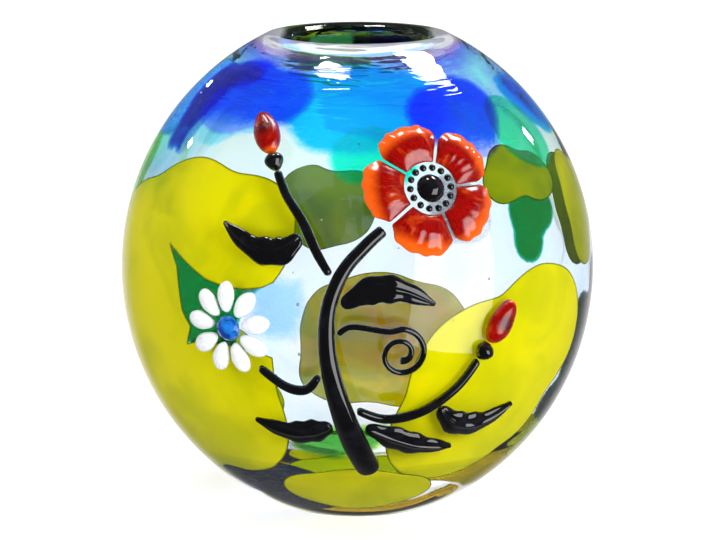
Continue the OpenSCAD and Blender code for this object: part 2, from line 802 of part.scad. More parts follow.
// Heading at which the tendril meets its outer turn, and the inner turn's share of the outer
tendril_start = 120;
tendril_end_share = 0.25;
tendril_steps = 16;
tendril_path = concat([from_main(0.5, -1, tendril_w * twig_lean_share), [-1.2, -2]],
    [for (i = [0 : tendril_steps]) let (u = i / tendril_steps)
        around(tendril_at, tendril_r * (1 - (1 - tendril_end_share) * u),
            tendril_start - 360 * tendril_turns * u)]);
tendril_shares = [1, 1, 0.95, 0.9, 0.85, 0.9, 1.25];

// Rings of points along each stem
main_rings = 40;
daisy_stem_rings = 16;
right_bud_rings = 28;
left_bud_rings = 22;
tendril_rings = 64;

module twig(path, rings) laid(path, twig_w, twig_h, twig_shares, bead_shares, rings);
module main_stem() color(jet) laid(main_path, stem_w, stem_h, taper_shares, bead_shares, main_rings);
module daisy_stem() color(jet) twig(daisy_path, daisy_stem_rings);
module right_bud_stem() color(jet) twig(right_bud_path, right_bud_rings);
module left_bud_stem() color(jet) twig(left_bud_path, left_bud_rings);
module tendril() color(jet) laid(tendril_path, tendril_w, tendril_h, tendril_shares, bead_shares,
    tendril_rings);

/* Leaves: width from end to end, and the frill of the edge, as shares of the greatest width */
leaf_taper_shares = [0.30, 0.72, 0.98, 1, 0.84, 0.52, 0.16];
leaf_frill_share = 0.10;
leaf_frills = 4;
leaf_rings = 24;
foot_leaf_path = [from_main(0.2, -1, leaf_w * leaf_lean_share), [9.6, -28.3], [17.6, -30.8], [27, -32]];
low_leaf_path = [from_main(0.23, 1, leaf_w * leaf_lean_share), [-11, -26.4], [-18, -27], [-27, -24.5]];
right_leaf_path = [from_twig(right_bud_path, 0.6, -1, leaf_w * leaf_lean_share), [26, -25.4], [34, -26],
    [43, -22.6]];
middle_leaf_path = [from_main(0.6, -1, leaf_w * leaf_lean_share), [3, 5.4], [10, 5.2], [18, 2]];
upper_leaf_path = [from_twig(left_bud_path, 0.42, 1, leaf_w * leaf_lean_share), [-18, 13], [-25, 13.4],
    [-34, 18]];

module leaf(path) laid(path, leaf_w, leaf_h, leaf_taper_shares, leaf_shares, leaf_rings,
    leaf_frill_share, leaf_frills);
module foot_leaf() color(jet) leaf(foot_leaf_path);
module low_leaf() color(jet) leaf(low_leaf_path);
module right_leaf() color(jet) leaf(right_leaf_path);
module middle_leaf() color(jet) leaf(middle_leaf_path);
module upper_leaf() color(jet) leaf(upper_leaf_path);

/* Poppy */
petal_rows = 10;
petal_cols = 12;
// How far a petal's corners and the waves of its rim draw in, as shares of the poppy's radius
corner_share = 0.20;
rim_wave_share = 0.035;
// Waves along a petal's rim and over its surface, and how far each petal's are shifted, in turns
rim_waves = 5;
face_waves = 6;
wave_shift = 0.2;
// Height of a petal where it begins and ends, as a share of its height in the middle
ends_share = 0.62;

// Place on petal k, for v from heart to rim and x from one side to the other
function petal_place(k, v, x) = let (
    wave = rim_wave_share * cos(360 * (rim_waves * x / 2 + wave_shift * k)),
    rim = poppy_r * (1 - corner_share * pow(abs(x), 4) + wave),
    r = poppy_inner_r + (rim - poppy_inner_r) * v,
    angle = petal_turn + 360 / poppy_petals * k + x * (180 / poppy_petals - turn(petal_gap / 2, r)))
    around(poppy_at, r, angle);
function petal_height(k, v, x) = let (edge = (1 - pow(abs(x), 3)) * (1 - pow(abs(2 * v - 1), 3)),
    swell = ends_share + (1 - ends_share) * sin(180 * v),
    wave = cos(360 * (face_waves * x / 2 + wave_shift * k)))
    rim_t + (poppy_h - rim_t) * edge * swell + frill_h * edge * wave;

module poppy_petal(k) {
    n = petal_cols + 1;
    m = (petal_rows + 1) * n;
    edge = concat([for (j = [0 : petal_cols - 1]) j],
        [for (i = [0 : petal_rows - 1]) i * n + petal_cols],
        [for (j = [petal_cols : -1 : 1]) petal_rows * n + j],
        [for (i = [petal_rows : -1 : 1]) i * n]);
    color(red) polyhedron(
        points = [for (top = [0, 1], i = [0 : petal_rows], j = [0 : petal_cols])
            let (v = i / petal_rows, x = 2 * j / petal_cols - 1)
            on_body(petal_place(k, v, x), seat_gap + top * petal_height(k, v, x))],
        faces = concat(
            [for (i = [0 : petal_rows - 1], j = [0 : petal_cols - 1]) let (a = i * n + j)
                each [[a, a + 1, a + n + 1], [a, a + n + 1, a + n],
                    [m + a, m + a + n + 1, m + a + 1], [m + a, m + a + n, m + a + n + 1]]],
            [for (e = [0 : len(edge) - 1]) let (a = edge[e], b = edge[(e + 1) % len(edge)])
                each [[a, m + b, b], [a, m + a, m + b]]]));
}

module poppy_petal_1() poppy_petal(0);
module poppy_petal_2() poppy_petal(1);
module poppy_petal_3() poppy_petal(2);
module poppy_petal_4() poppy_petal(3);
module poppy_petal_5() poppy_petal(4);
module poppy_heart() color(jet) drop(poppy_at, heart_r, heart_h);
stamens = 14;
// Height of a stamen bead as a share of its radius
stamen_share = 1.3;
module poppy_stamens() color(jet) for (k = [0 : stamens - 1])
    drop(around(poppy_at, stamen_ring_r, 360 / stamens * k), stamen_r, stamen_r * stamen_share);

/* Daisy */
daisy_petal_count = 9;
daisy_shares = [0.34, 0.74, 1, 0.90, 0.50];
daisy_rings = 9;
// Heading of the first daisy petal, as a share of the angle between two
daisy_turn_share = 0.3;
// Gap between the daisy's heart and its petals
daisy_gap = 1.2;
function daisy_petal_path(k) = let (inner = daisy_heart_r + daisy_gap)
    [for (i = [0 : 3]) around(daisy_at, inner + (daisy_r - inner) * i / 3,
        360 / daisy_petal_count * (k + daisy_turn_share))];
module daisy_petals() color(white) for (k = [0 : daisy_petal_count - 1])
    laid(daisy_petal_path(k), daisy_petal_w, daisy_h, daisy_shares, dome_shares, daisy_rings);
module daisy_heart() color(blue) drop(daisy_at, daisy_heart_r, daisy_heart_h);

/* Buds: each stands past the end of its stem, behind a calyx */
bud_shares = [0.42, 0.92, 1, 0.78, 0.34];
calyx_shares = [0.52, 0.86, 1, 0.96];
bud_rings = 14;
calyx_rings = 10;
// The heading at which a path ends, and a path that carries on from there
function heading(path) = let (d = stretch(path, 0.9, 1)) atan2(d[1], d[0]);
function ahead(path, from, l) = let (p = path[len(path) - 1], a = heading(path))
    [for (i = [0 : 3]) around(p, from + l * i / 3, a)];
module bud(path) color(red) laid(ahead(path, calyx_l + join_gap * 2, bud_l), bud_w, bud_h,
    bud_shares, dome_shares, bud_rings);
module calyx(path) color(jet) laid(ahead(path, join_gap, calyx_l), calyx_w, bud_h,
    calyx_shares, dome_shares, calyx_rings);
module right_bud() bud(right_bud_path);
module right_calyx() calyx(right_bud_path);
module left_bud() bud(left_bud_path);
module left_calyx() calyx(left_bud_path);

casing();
liner();
first_gather();
lavender_collar();
lime_left();
lime_right();
lime_foot();
lime_edge();
lime_back_left();
lime_back_right();
olive_upper();
olive_lower();
olive_right();
green_window();
green_right();
green_foot();
green_neck();
spring_edge();
cobalt_left();
navy_streak();
azure_front();
cobalt_right();
aqua_spot();
teal_spot();
sky_left();
sky_right();
sky_window();
cobalt_back();
azure_back();
aqua_back();
navy_foot();
opal_right();
smoke_right();
main_stem();
daisy_stem();
right_bud_stem();
left_bud_stem();
tendril();
foot_leaf();
low_leaf();
right_leaf();
middle_leaf();
upper_leaf();
poppy_petal_1();
poppy_petal_2();
poppy_petal_3();
poppy_petal_4();
poppy_petal_5();
poppy_heart();
poppy_stamens();
daisy_petals();
daisy_heart();
right_bud();
right_calyx();
left_bud();
left_calyx();
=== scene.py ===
import json, math, random
import bmesh, bpy
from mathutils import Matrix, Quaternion, Vector, noise

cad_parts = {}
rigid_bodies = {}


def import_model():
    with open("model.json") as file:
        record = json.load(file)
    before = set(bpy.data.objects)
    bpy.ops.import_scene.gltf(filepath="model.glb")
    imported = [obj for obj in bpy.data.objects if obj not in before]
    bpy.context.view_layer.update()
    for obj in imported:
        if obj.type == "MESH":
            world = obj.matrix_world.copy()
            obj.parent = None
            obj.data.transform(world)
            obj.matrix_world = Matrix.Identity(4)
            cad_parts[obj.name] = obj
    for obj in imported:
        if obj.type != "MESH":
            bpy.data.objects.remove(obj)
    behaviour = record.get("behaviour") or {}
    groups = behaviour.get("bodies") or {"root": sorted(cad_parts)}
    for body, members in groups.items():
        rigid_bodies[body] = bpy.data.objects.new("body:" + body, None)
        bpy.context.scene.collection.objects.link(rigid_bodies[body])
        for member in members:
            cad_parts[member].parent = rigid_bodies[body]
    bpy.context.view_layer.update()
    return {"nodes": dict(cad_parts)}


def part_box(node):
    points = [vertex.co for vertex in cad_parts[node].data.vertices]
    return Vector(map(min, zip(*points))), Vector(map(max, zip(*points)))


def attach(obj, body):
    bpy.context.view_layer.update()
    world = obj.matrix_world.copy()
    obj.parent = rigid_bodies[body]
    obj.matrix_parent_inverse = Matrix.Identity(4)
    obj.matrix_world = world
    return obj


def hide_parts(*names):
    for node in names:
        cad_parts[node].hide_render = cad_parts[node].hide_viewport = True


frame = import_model()        # the nodes, once the bodies are built
nodes = frame["nodes"]
random.seed(14)
scene = bpy.context.scene
scene.view_settings.view_transform = "Standard"
scene.cycles.max_bounces = 24
scene.cycles.transmission_bounces = 20
scene.cycles.transparent_max_bounces = 48
scene.cycles.sample_clamp_indirect = 6
print("frame loaded:", len(nodes), "nodes")


def paint(red, green, blue):        # screen values 0 to 255 as a linear colour
    linear = [(v / 255 / 12.92) if v < 10.3 else ((v / 255 + 0.055) / 1.055) ** 2.4 for v in (red, green, blue)]
    return (*linear, 1)


class Wire:
    def __init__(self, surface, output):
        self.surface, self.output = surface, output

    def maths(self, operation, first, second):
        return self.surface.node("ShaderNodeMath", {"operation": operation}, {0: first, 1: second})

    def __add__(self, other):
        return self.maths("ADD", self, other)

    def __sub__(self, other):
        return self.maths("SUBTRACT", self, other)

    def __rsub__(self, other):
        return self.maths("SUBTRACT", other, self)

    def __mul__(self, other):
        return self.maths("MULTIPLY", self, other)

    __radd__, __rmul__ = __add__, __mul__

    def larger(self, other):
        return self.maths("MAXIMUM", self, other)

    def between(self, low, high):        # soft step from 0 at low to 1 at high
        return self.surface.node("ShaderNodeMapRange", {"interpolation_type": "SMOOTHSTEP"},
                                 {"Value": self, "From Min": low, "From Max": high})


class Surface:
    def __init__(self, name, owner=None):
        self.owner = owner or bpy.data.materials.new(name)
        self.owner.use_nodes = True
        self.tree = self.owner.node_tree
        self.tree.nodes.clear()

    def node(self, kind, settings=None, sockets=None, output=0):
        made = self.tree.nodes.new(kind)
        for name, value in (settings or {}).items():
            setattr(made, name, value)
        for name, value in (sockets or {}).items():
            if isinstance(value, Wire):
                self.tree.links.new(value.output, made.inputs[name])
            else:
                made.inputs[name].default_value = value
        return Wire(self, made.outputs[output])

    def blend(self, factor, low, high):
        return self.node("ShaderNodeMix", {"data_type": "RGBA"}, {0: factor, 6: low, 7: high}, 2)

    def place(self, output="Object", **mapping):
        spot = self.node("ShaderNodeTexCoord", output=output)
        return self.node("ShaderNodeMapping", None, {"Vector": spot, **mapping})

    def clouds(self, scale, detail=3.0, rough=0.55, warp=0.0, where=None):
        return self.node("ShaderNodeTexNoise", None, {"Vector": where or self.place(), "Scale": scale,
                         "Detail": detail, "Roughness": rough, "Distortion": warp})

    def part(self, axis, output="Object"):        # one coordinate of the place, 0 to 2
        return self.node("ShaderNodeSeparateXYZ", None, {0: self.node("ShaderNodeTexCoord", output=output)}, axis)

    def ray(self, kind):
        return self.node("ShaderNodeLightPath", output=kind)

    def skin(self, sockets):
        return self.node("ShaderNodeBsdfPrincipled", None, sockets)

    def attribute(self, name):
        return self.node("ShaderNodeAttribute", {"attribute_name": name}, None, "Fac")

    def bump(self, height, strength, distance):
        return self.node("ShaderNodeBump", None, {"Height": height, "Strength": strength, "Distance": distance})

    def mixShader(self, factor, first, second):
        return self.node("ShaderNodeMixShader", None, {0: factor, 1: first, 2: second})

    def veil(self, colour=(1, 1, 1, 1)):
        return self.node("ShaderNodeBsdfTransparent", None, {"Color": colour})

    def finish(self, shader):
        end = self.tree.nodes.new("ShaderNodeOutputWorld" if isinstance(self.owner, bpy.types.World)
                                  else "ShaderNodeOutputMaterial")
        self.tree.links.new(shader.output, end.inputs["Surface"])
        return self.owner


studio = {
    "cameraAt": (0.0, -1.5673, 0.4417),
    "lookAt": (0.0003, 0.0, 0.1178),
    "lens": 157.7,
    "sensorWidth": 36.0,
    "clip": (0.05, 40.0),
    "lampsAim": (0, 0, 0.12),
    "roomLight": 0.50,
    "frontDim": 0.03,             # what the camera's side of the room sends to reflections
    "backDim": 0.16,              # and what the pale backdrop sends
    "sideTurn": (-0.45, 0.35),    # how far back a direction points where the one goes over into the other
    "floorDown": (-0.05, 0.25),   # how far down and back it points where the floor's far end lights it
    "floorBack": (0.74, 0.99),
    "floorGlow": (0.66, 0.80),    # near the vase and far from it
    "floorReach": (0.3, 1.8),
    "floorColour": 0.52,
    "floorRadius": 9.0,
    "floorSides": 64,
    "floorDrop": 0.0003,          # below the vase's foot
    "lights": {
        # name: place, size, strength in watts, turn in degrees
        "softboxRight": ((0.865, -0.862, 0.07), (0.89, 1.12), 11.0, -7),
        "softboxTop": ((-0.10, -0.25, 1.35), (0.80, 0.60), 2.5, 0),
        "fillLeft": ((-1.25, -0.85, 0.25), (0.55, 0.9), 11.0, 0),
        "fillRight": ((0.80, -1.40, 0.20), (0.55, 0.9), 27.0, 0),
        "rimLeft": ((-0.768, 1.350, 0.650), (0.06, 0.035), 0.45, 0),
        "rimLeftLow": ((-1.306, 0.756, 0.827), (0.09, 0.06), 0.6, 0),
        "rimRight": ((1.12, 0.84, 0.72), (0.08, 0.10), 1.0, 0),
        "overLeft": ((-0.20, 0.24, 1.42), (0.15, 0.34), 3.4, 0),
        "overRight": ((0.50, 0.50, 1.26), (0.46, 0.30), 7.0, 0),
    },
}

camera = bpy.data.objects.new("camera", bpy.data.cameras.new("camera"))
scene.collection.objects.link(camera)
camera.location = studio["cameraAt"]
camera.rotation_euler = (Vector(studio["lookAt"]) - camera.location).to_track_quat("-Z", "Y").to_euler()
camera.data.lens = studio["lens"]
camera.data.sensor_width = studio["sensorWidth"]
camera.data.clip_start, camera.data.clip_end = studio["clip"]
scene.camera = camera

for name, (spot, size, watts, turn) in studio["lights"].items():
    lamp = bpy.data.objects.new(name, bpy.data.lights.new(name, "AREA"))
    scene.collection.objects.link(lamp)
    lamp.data.shape, lamp.data.size, lamp.data.size_y = "RECTANGLE", size[0], size[1]
    lamp.data.energy = watts
    lamp.location = spot
    aim = (Vector(studio["lampsAim"]) - lamp.location).to_track_quat("-Z", "Y")
    lamp.rotation_euler = (aim @ Quaternion((0, 0, 1), math.radians(turn))).to_euler()
    lamp.visible_camera = False
    lamp.visible_transmission = False
    lamp.visible_glossy = not name.startswith("fill") and name != "softboxTop"        # these aren't mirrored

scene.world = bpy.data.worlds.new("room")
room = Surface("room", scene.world)
backward, downward = room.part(1, "Generated"), -1 * room.part(2, "Generated")
behind = backward.between(*studio["sideTurn"]) * (studio["backDim"] - studio["frontDim"]) + studio["frontDim"]
below = downward.between(*studio["floorDown"]) * backward.between(*studio["floorBack"])
behind = behind + below * (1 - behind)
straight = room.ray("Is Camera Ray").larger(room.ray("Is Transmission Ray"))
lit = (1 - straight.larger(room.ray("Is Glossy Ray"))) * studio["roomLight"]
strength = lit + straight.larger(room.ray("Is Glossy Ray") * behind)
room.finish(room.node("ShaderNodeBackground", None, {"Color": (1, 1, 1, 1), "Strength": strength}))

bm = bmesh.new()
bmesh.ops.create_circle(bm, cap_ends=True, segments=studio["floorSides"], radius=studio["floorRadius"])
bmesh.ops.translate(bm, verts=bm.verts, vec=(0, 0, -studio["floorDrop"]))
floor = bpy.data.objects.new("floor", bpy.data.meshes.new("floor"))
bm.to_mesh(floor.data)
bm.free()
scene.collection.objects.link(floor)
sweep = Surface("pale_floor")
view = sweep.ray("Is Camera Ray").larger(sweep.ray("Is Transmission Ray"))
plain = sweep.node("ShaderNodeBsdfDiffuse", None, {"Color": (studio["floorColour"],) * 3 + (1,)})
far = sweep.node("ShaderNodeVectorMath", {"operation": "LENGTH"}, {0: sweep.place()}, 1)
near, beyond = studio["floorGlow"]
glow = sweep.node("ShaderNodeEmission", None, {
    "Color": (1, 1, 1, 1), "Strength": view * (far.between(*studio["floorReach"]) * (beyond - near) + near)})
floor.data.materials.append(sweep.finish(sweep.node("ShaderNodeAddShader", None, {0: plain, 1: glow})))
floor.visible_glossy = False
print("camera, room and lights")


glassBody = {
    "arcIn": 0.0127368,          # the side's arc is centred this far past the axis
    "arcRadius": 0.1327368,
    "waistHeight": 0.120,
    "footRadius": 0.0440,
    "wall": 0.0130,
    "lipRadius": 0.0066,
    "mouthRadius": 0.0370,
    "floorCentre": 0.166,
    "floorRadius": 0.146,
    # places in foot radii, and heights
    "underside": ((0, 0.0016), (0.40, 0.0016), (0.66, 0.00128), (0.80, 0.0003), (0.88, 0), (0.96, 0.0001)),
    "sideSteps": 96,
    "lipSteps": 20,
    "bowlSteps": 26,
    "cornerReach": 7,            # points to each side that round the corner of wall and floor
    "cornerTurns": 24,
    "turnSteps": 224,
    "weld": 0.000002,
    "innerWave": 0.00045,        # how uneven the blown inside is
    "outerWave": 0.00004,
    "waves": ((22, (0, 0, 0), 1.0), (51, (3, 7, 1), 0.5)),        # scale, offset and share
    "waveFrom": 0.004,           # the foot below this height stays flat
    "insideFrom": 0.002,         # so far in from the wall's middle a point counts as inside
    "tint": (0.965, 0.985, 1.0, 1),
    "shadowTint": (0.97, 0.98, 1.0, 1),
    "index": 1.5,
    "ripple": (34, 2.0, 0.5),    # noise scale, detail and roughness
    "rippleShare": 0.12,
    "toolMarks": (88, 2.0, 0.5, 0.5),
    "toolStretch": (0.26, 0.26, 2.3),
    "toolHeights": (0.200, 0.222),        # the marks begin and are full at these heights
    "toolShare": 1.6,
    "bump": (0.75, 0.0007),
}


def onGlass(azimuth, latitude, height=0.0):
    a, b = math.radians(azimuth), math.radians(latitude)
    reach = glassBody["arcRadius"] + height
    ring = reach * math.cos(b) - glassBody["arcIn"]
    return Vector((ring * math.sin(a), -ring * math.cos(a), glassBody["waistHeight"] + reach * math.sin(b)))


def newObject(name, bm, material=None):
    mesh = bpy.data.meshes.new(name)
    for face in bm.faces:
        face.smooth = True
    bm.to_mesh(mesh)
    bm.free()
    made = bpy.data.objects.new(name, mesh)
    scene.collection.objects.link(made)
    if material:
        mesh.materials.append(material)
    return made


def dress(piece, slotName, *replaced):
    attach(piece, "root")
    if replaced:
        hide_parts(*replaced)
    return piece


def arcPoint(reach, angle):
    return Vector((reach * math.cos(angle) - glassBody["arcIn"], 0,
                   glassBody["waistHeight"] + reach * math.sin(angle)))


def bodyProfile():
    outside = glassBody["arcRadius"]
    inside = outside - glassBody["wall"]
    middle = outside - glassBody["wall"] / 2
    low = math.asin(-glassBody["waistHeight"] / outside)
    high = math.acos((glassBody["mouthRadius"] + glassBody["lipRadius"] + glassBody["arcIn"]) / middle)
    steps = glassBody["sideSteps"]
    foot = glassBody["footRadius"]
    points = [Vector((foot * share, 0, height)) for share, height in glassBody["underside"]]
    points += [arcPoint(outside, low + (high - low) * k / steps) for k in range(steps + 1)]
    centre = arcPoint(middle, high)
    lip = glassBody["lipRadius"]
    for k in range(1, glassBody["lipSteps"]):
        turn = high + math.pi * k / glassBody["lipSteps"]
        points.append(centre + Vector((math.cos(turn), 0, math.sin(turn))) * lip)
    # the inside comes down to where it meets the bowl of the floor
    floorZ, floorR = glassBody["floorCentre"], glassBody["floorRadius"]
    down = high
    while True:
        point = arcPoint(inside, down)
        if point.x ** 2 + (point.z - floorZ) ** 2 > floorR ** 2 and point.z < floorZ:
            break
        points.append(point)
        down -= (high - low) / steps
    edge = math.atan2(points[-1].x, floorZ - points[-1].z)
    bowl, near = glassBody["bowlSteps"], glassBody["cornerReach"]
    turns = [edge * k / bowl for k in range(bowl - 1, -1, -1)]
    points += [Vector((floorR * math.sin(turn), 0, floorZ - floorR * math.cos(turn))) for turn in turns]
    corner = len(points) - bowl
    for turn in range(glassBody["cornerTurns"]):        # the corner of wall and floor is rounded
        for k in range(corner - near, corner + near + 1):
            points[k] = points[k] * 0.5 + (points[k - 1] + points[k + 1]) * 0.25
    points[0].x = points[-1].x = 0
    return points


bm = bmesh.new()
chain = [bm.verts.new(point) for point in bodyProfile()]
for first, second in zip(chain, chain[1:]):
    bm.edges.new((first, second))
bmesh.ops.spin(bm, geom=bm.verts[:] + bm.edges[:], cent=(0, 0, 0), axis=(0, 0, 1), angle=math.tau,
               steps=glassBody["turnSteps"], use_merge=True)
bmesh.ops.remove_doubles(bm, verts=bm.verts, dist=glassBody["weld"])
bmesh.ops.recalc_face_normals(bm, faces=bm.faces)
middle = glassBody["arcRadius"] - glassBody["wall"] / 2
for vert in bm.verts:
    across = math.hypot(vert.co.x, vert.co.y)
    reach = math.hypot(across + glassBody["arcIn"], vert.co.z - glassBody["waistHeight"])
    within = reach < middle - glassBody["insideFrom"]
    wave = glassBody["innerWave"] if within else -glassBody["outerWave"]
    if vert.co.z > glassBody["waveFrom"]:
        swell = sum(share * noise.noise(vert.co * scale + Vector(offset))
                    for scale, offset, share in glassBody["waves"])
        vert.co += vert.normal * wave * (swell if within else abs(swell))
glass = Surface("clear_glass")
eastward, depthwise, upward = (glass.part(axis) for axis in range(3))
tooled = glass.clouds(*glassBody["toolMarks"], glass.place(Scale=glassBody["toolStretch"]))
tooled = tooled * upward.between(*glassBody["toolHeights"]) * glassBody["toolShare"]
ripple = glass.clouds(*glassBody["ripple"]) * glassBody["rippleShare"] + tooled
clear = glass.skin({"Base Color": glassBody["tint"], "Roughness": 0.0, "IOR": glassBody["index"],
                    "Transmission Weight": 1.0, "Normal": glass.bump(ripple, *glassBody["bump"])})

# inside the neck the far wall is darkened with painted shade, a dark plum veil with one green patch, and the lip is
# milky
neck = {
    "insideSquare": (0.0151, 0.0158),        # squares of the distance from the side's centre
    "sideSquare": (0.00122, 0.00158),        # and of the distance to the left or right
    "height": (0.2195, 0.2235), "far": (-0.012, 0.004), "lip": (0.2350, 0.2385),
    "patchWest": (-0.026, -0.023), "patchEast": (-0.004, -0.001),
    # dark and plum: strength and colour of the painted shade on the far inner wall
    "dark": 0.94, "patchShare": 0.95, "milky": 0.34,
    "shadePlum": (0.16, 0.04, 0.22, 1), "green": paint(2, 92, 36), "greenRough": 0.3,
    "milk": (0.80, 0.80, 0.86, 1), "milkRough": 0.35,
}
around = glass.node("ShaderNodeVectorMath", {"operation": "LENGTH"}, {0: glass.place(Scale=(1, 1, 0))}, 1)
around, rise = around + glassBody["arcIn"], upward - glassBody["waistHeight"]
far = depthwise.between(*neck["far"]) * (1 - (eastward * eastward).between(*neck["sideSquare"]))
lip = upward.between(*neck["lip"]) * (1 - far)
# painted shade: the inside of the neck's far wall, seen through the mouth, is veiled dark
dark = (1 - (around * around + rise * rise).between(*neck["insideSquare"])) * upward.between(*neck["height"])
patch = eastward.between(*neck["patchWest"]) * (1 - eastward.between(*neck["patchEast"])) * neck["patchShare"]
green = glass.skin({"Base Color": neck["green"], "Roughness": neck["greenRough"]})
# the dark plum veil of painted shade, with the green patch in it
deep = glass.mixShader(patch, glass.veil(neck["shadePlum"]), green)
milk = glass.skin({"Base Color": neck["milk"], "Roughness": neck["milkRough"]})
clear = glass.mixShader(lip * neck["milky"], glass.mixShader(dark * far * neck["dark"], clear, deep), milk)
shaded = glass.mixShader(glass.ray("Is Shadow Ray"), clear, glass.veil(glassBody["shadowTint"]))
body = newObject("glass_body", bm, glass.finish(shaded))
dress(body, "clear_glass", "casing", "liner", "first_gather")
print("glass body:", len(body.data.polygons), "faces")


layer = {
    "depths": (0.00725, 0.00770, 0.00815, 0.00860, 0.00685),        # levels inside the layer, the last for the foot
    "thickness": 0.00034,
    "cell": 0.0011,              # of the grid that a plate is cut from, or a 22nd of a small plate's size
    "cellsPerSize": 22,
    "melt": 0.0022,              # how far lobes flow into each other
    "swell": 0.0006,             # how uneven the outlines are, and how fine
    "swellScale": 60,
    "lobeSpare": 0.004,
    "outlineSpare": 0.007,
    "ragged": 0.62,              # cells past the outline that the border takes along
    "evening": 0.55,             # how far the border moves to its neighbours' middle in a turn
    "dissolve": 0.04,
    "flowUnit": 0.03,            # metres to one unit of the flow map, whose middle lies at flowMiddle
    "flowMiddle": 5,
    "topLatitude": 61.0,
}

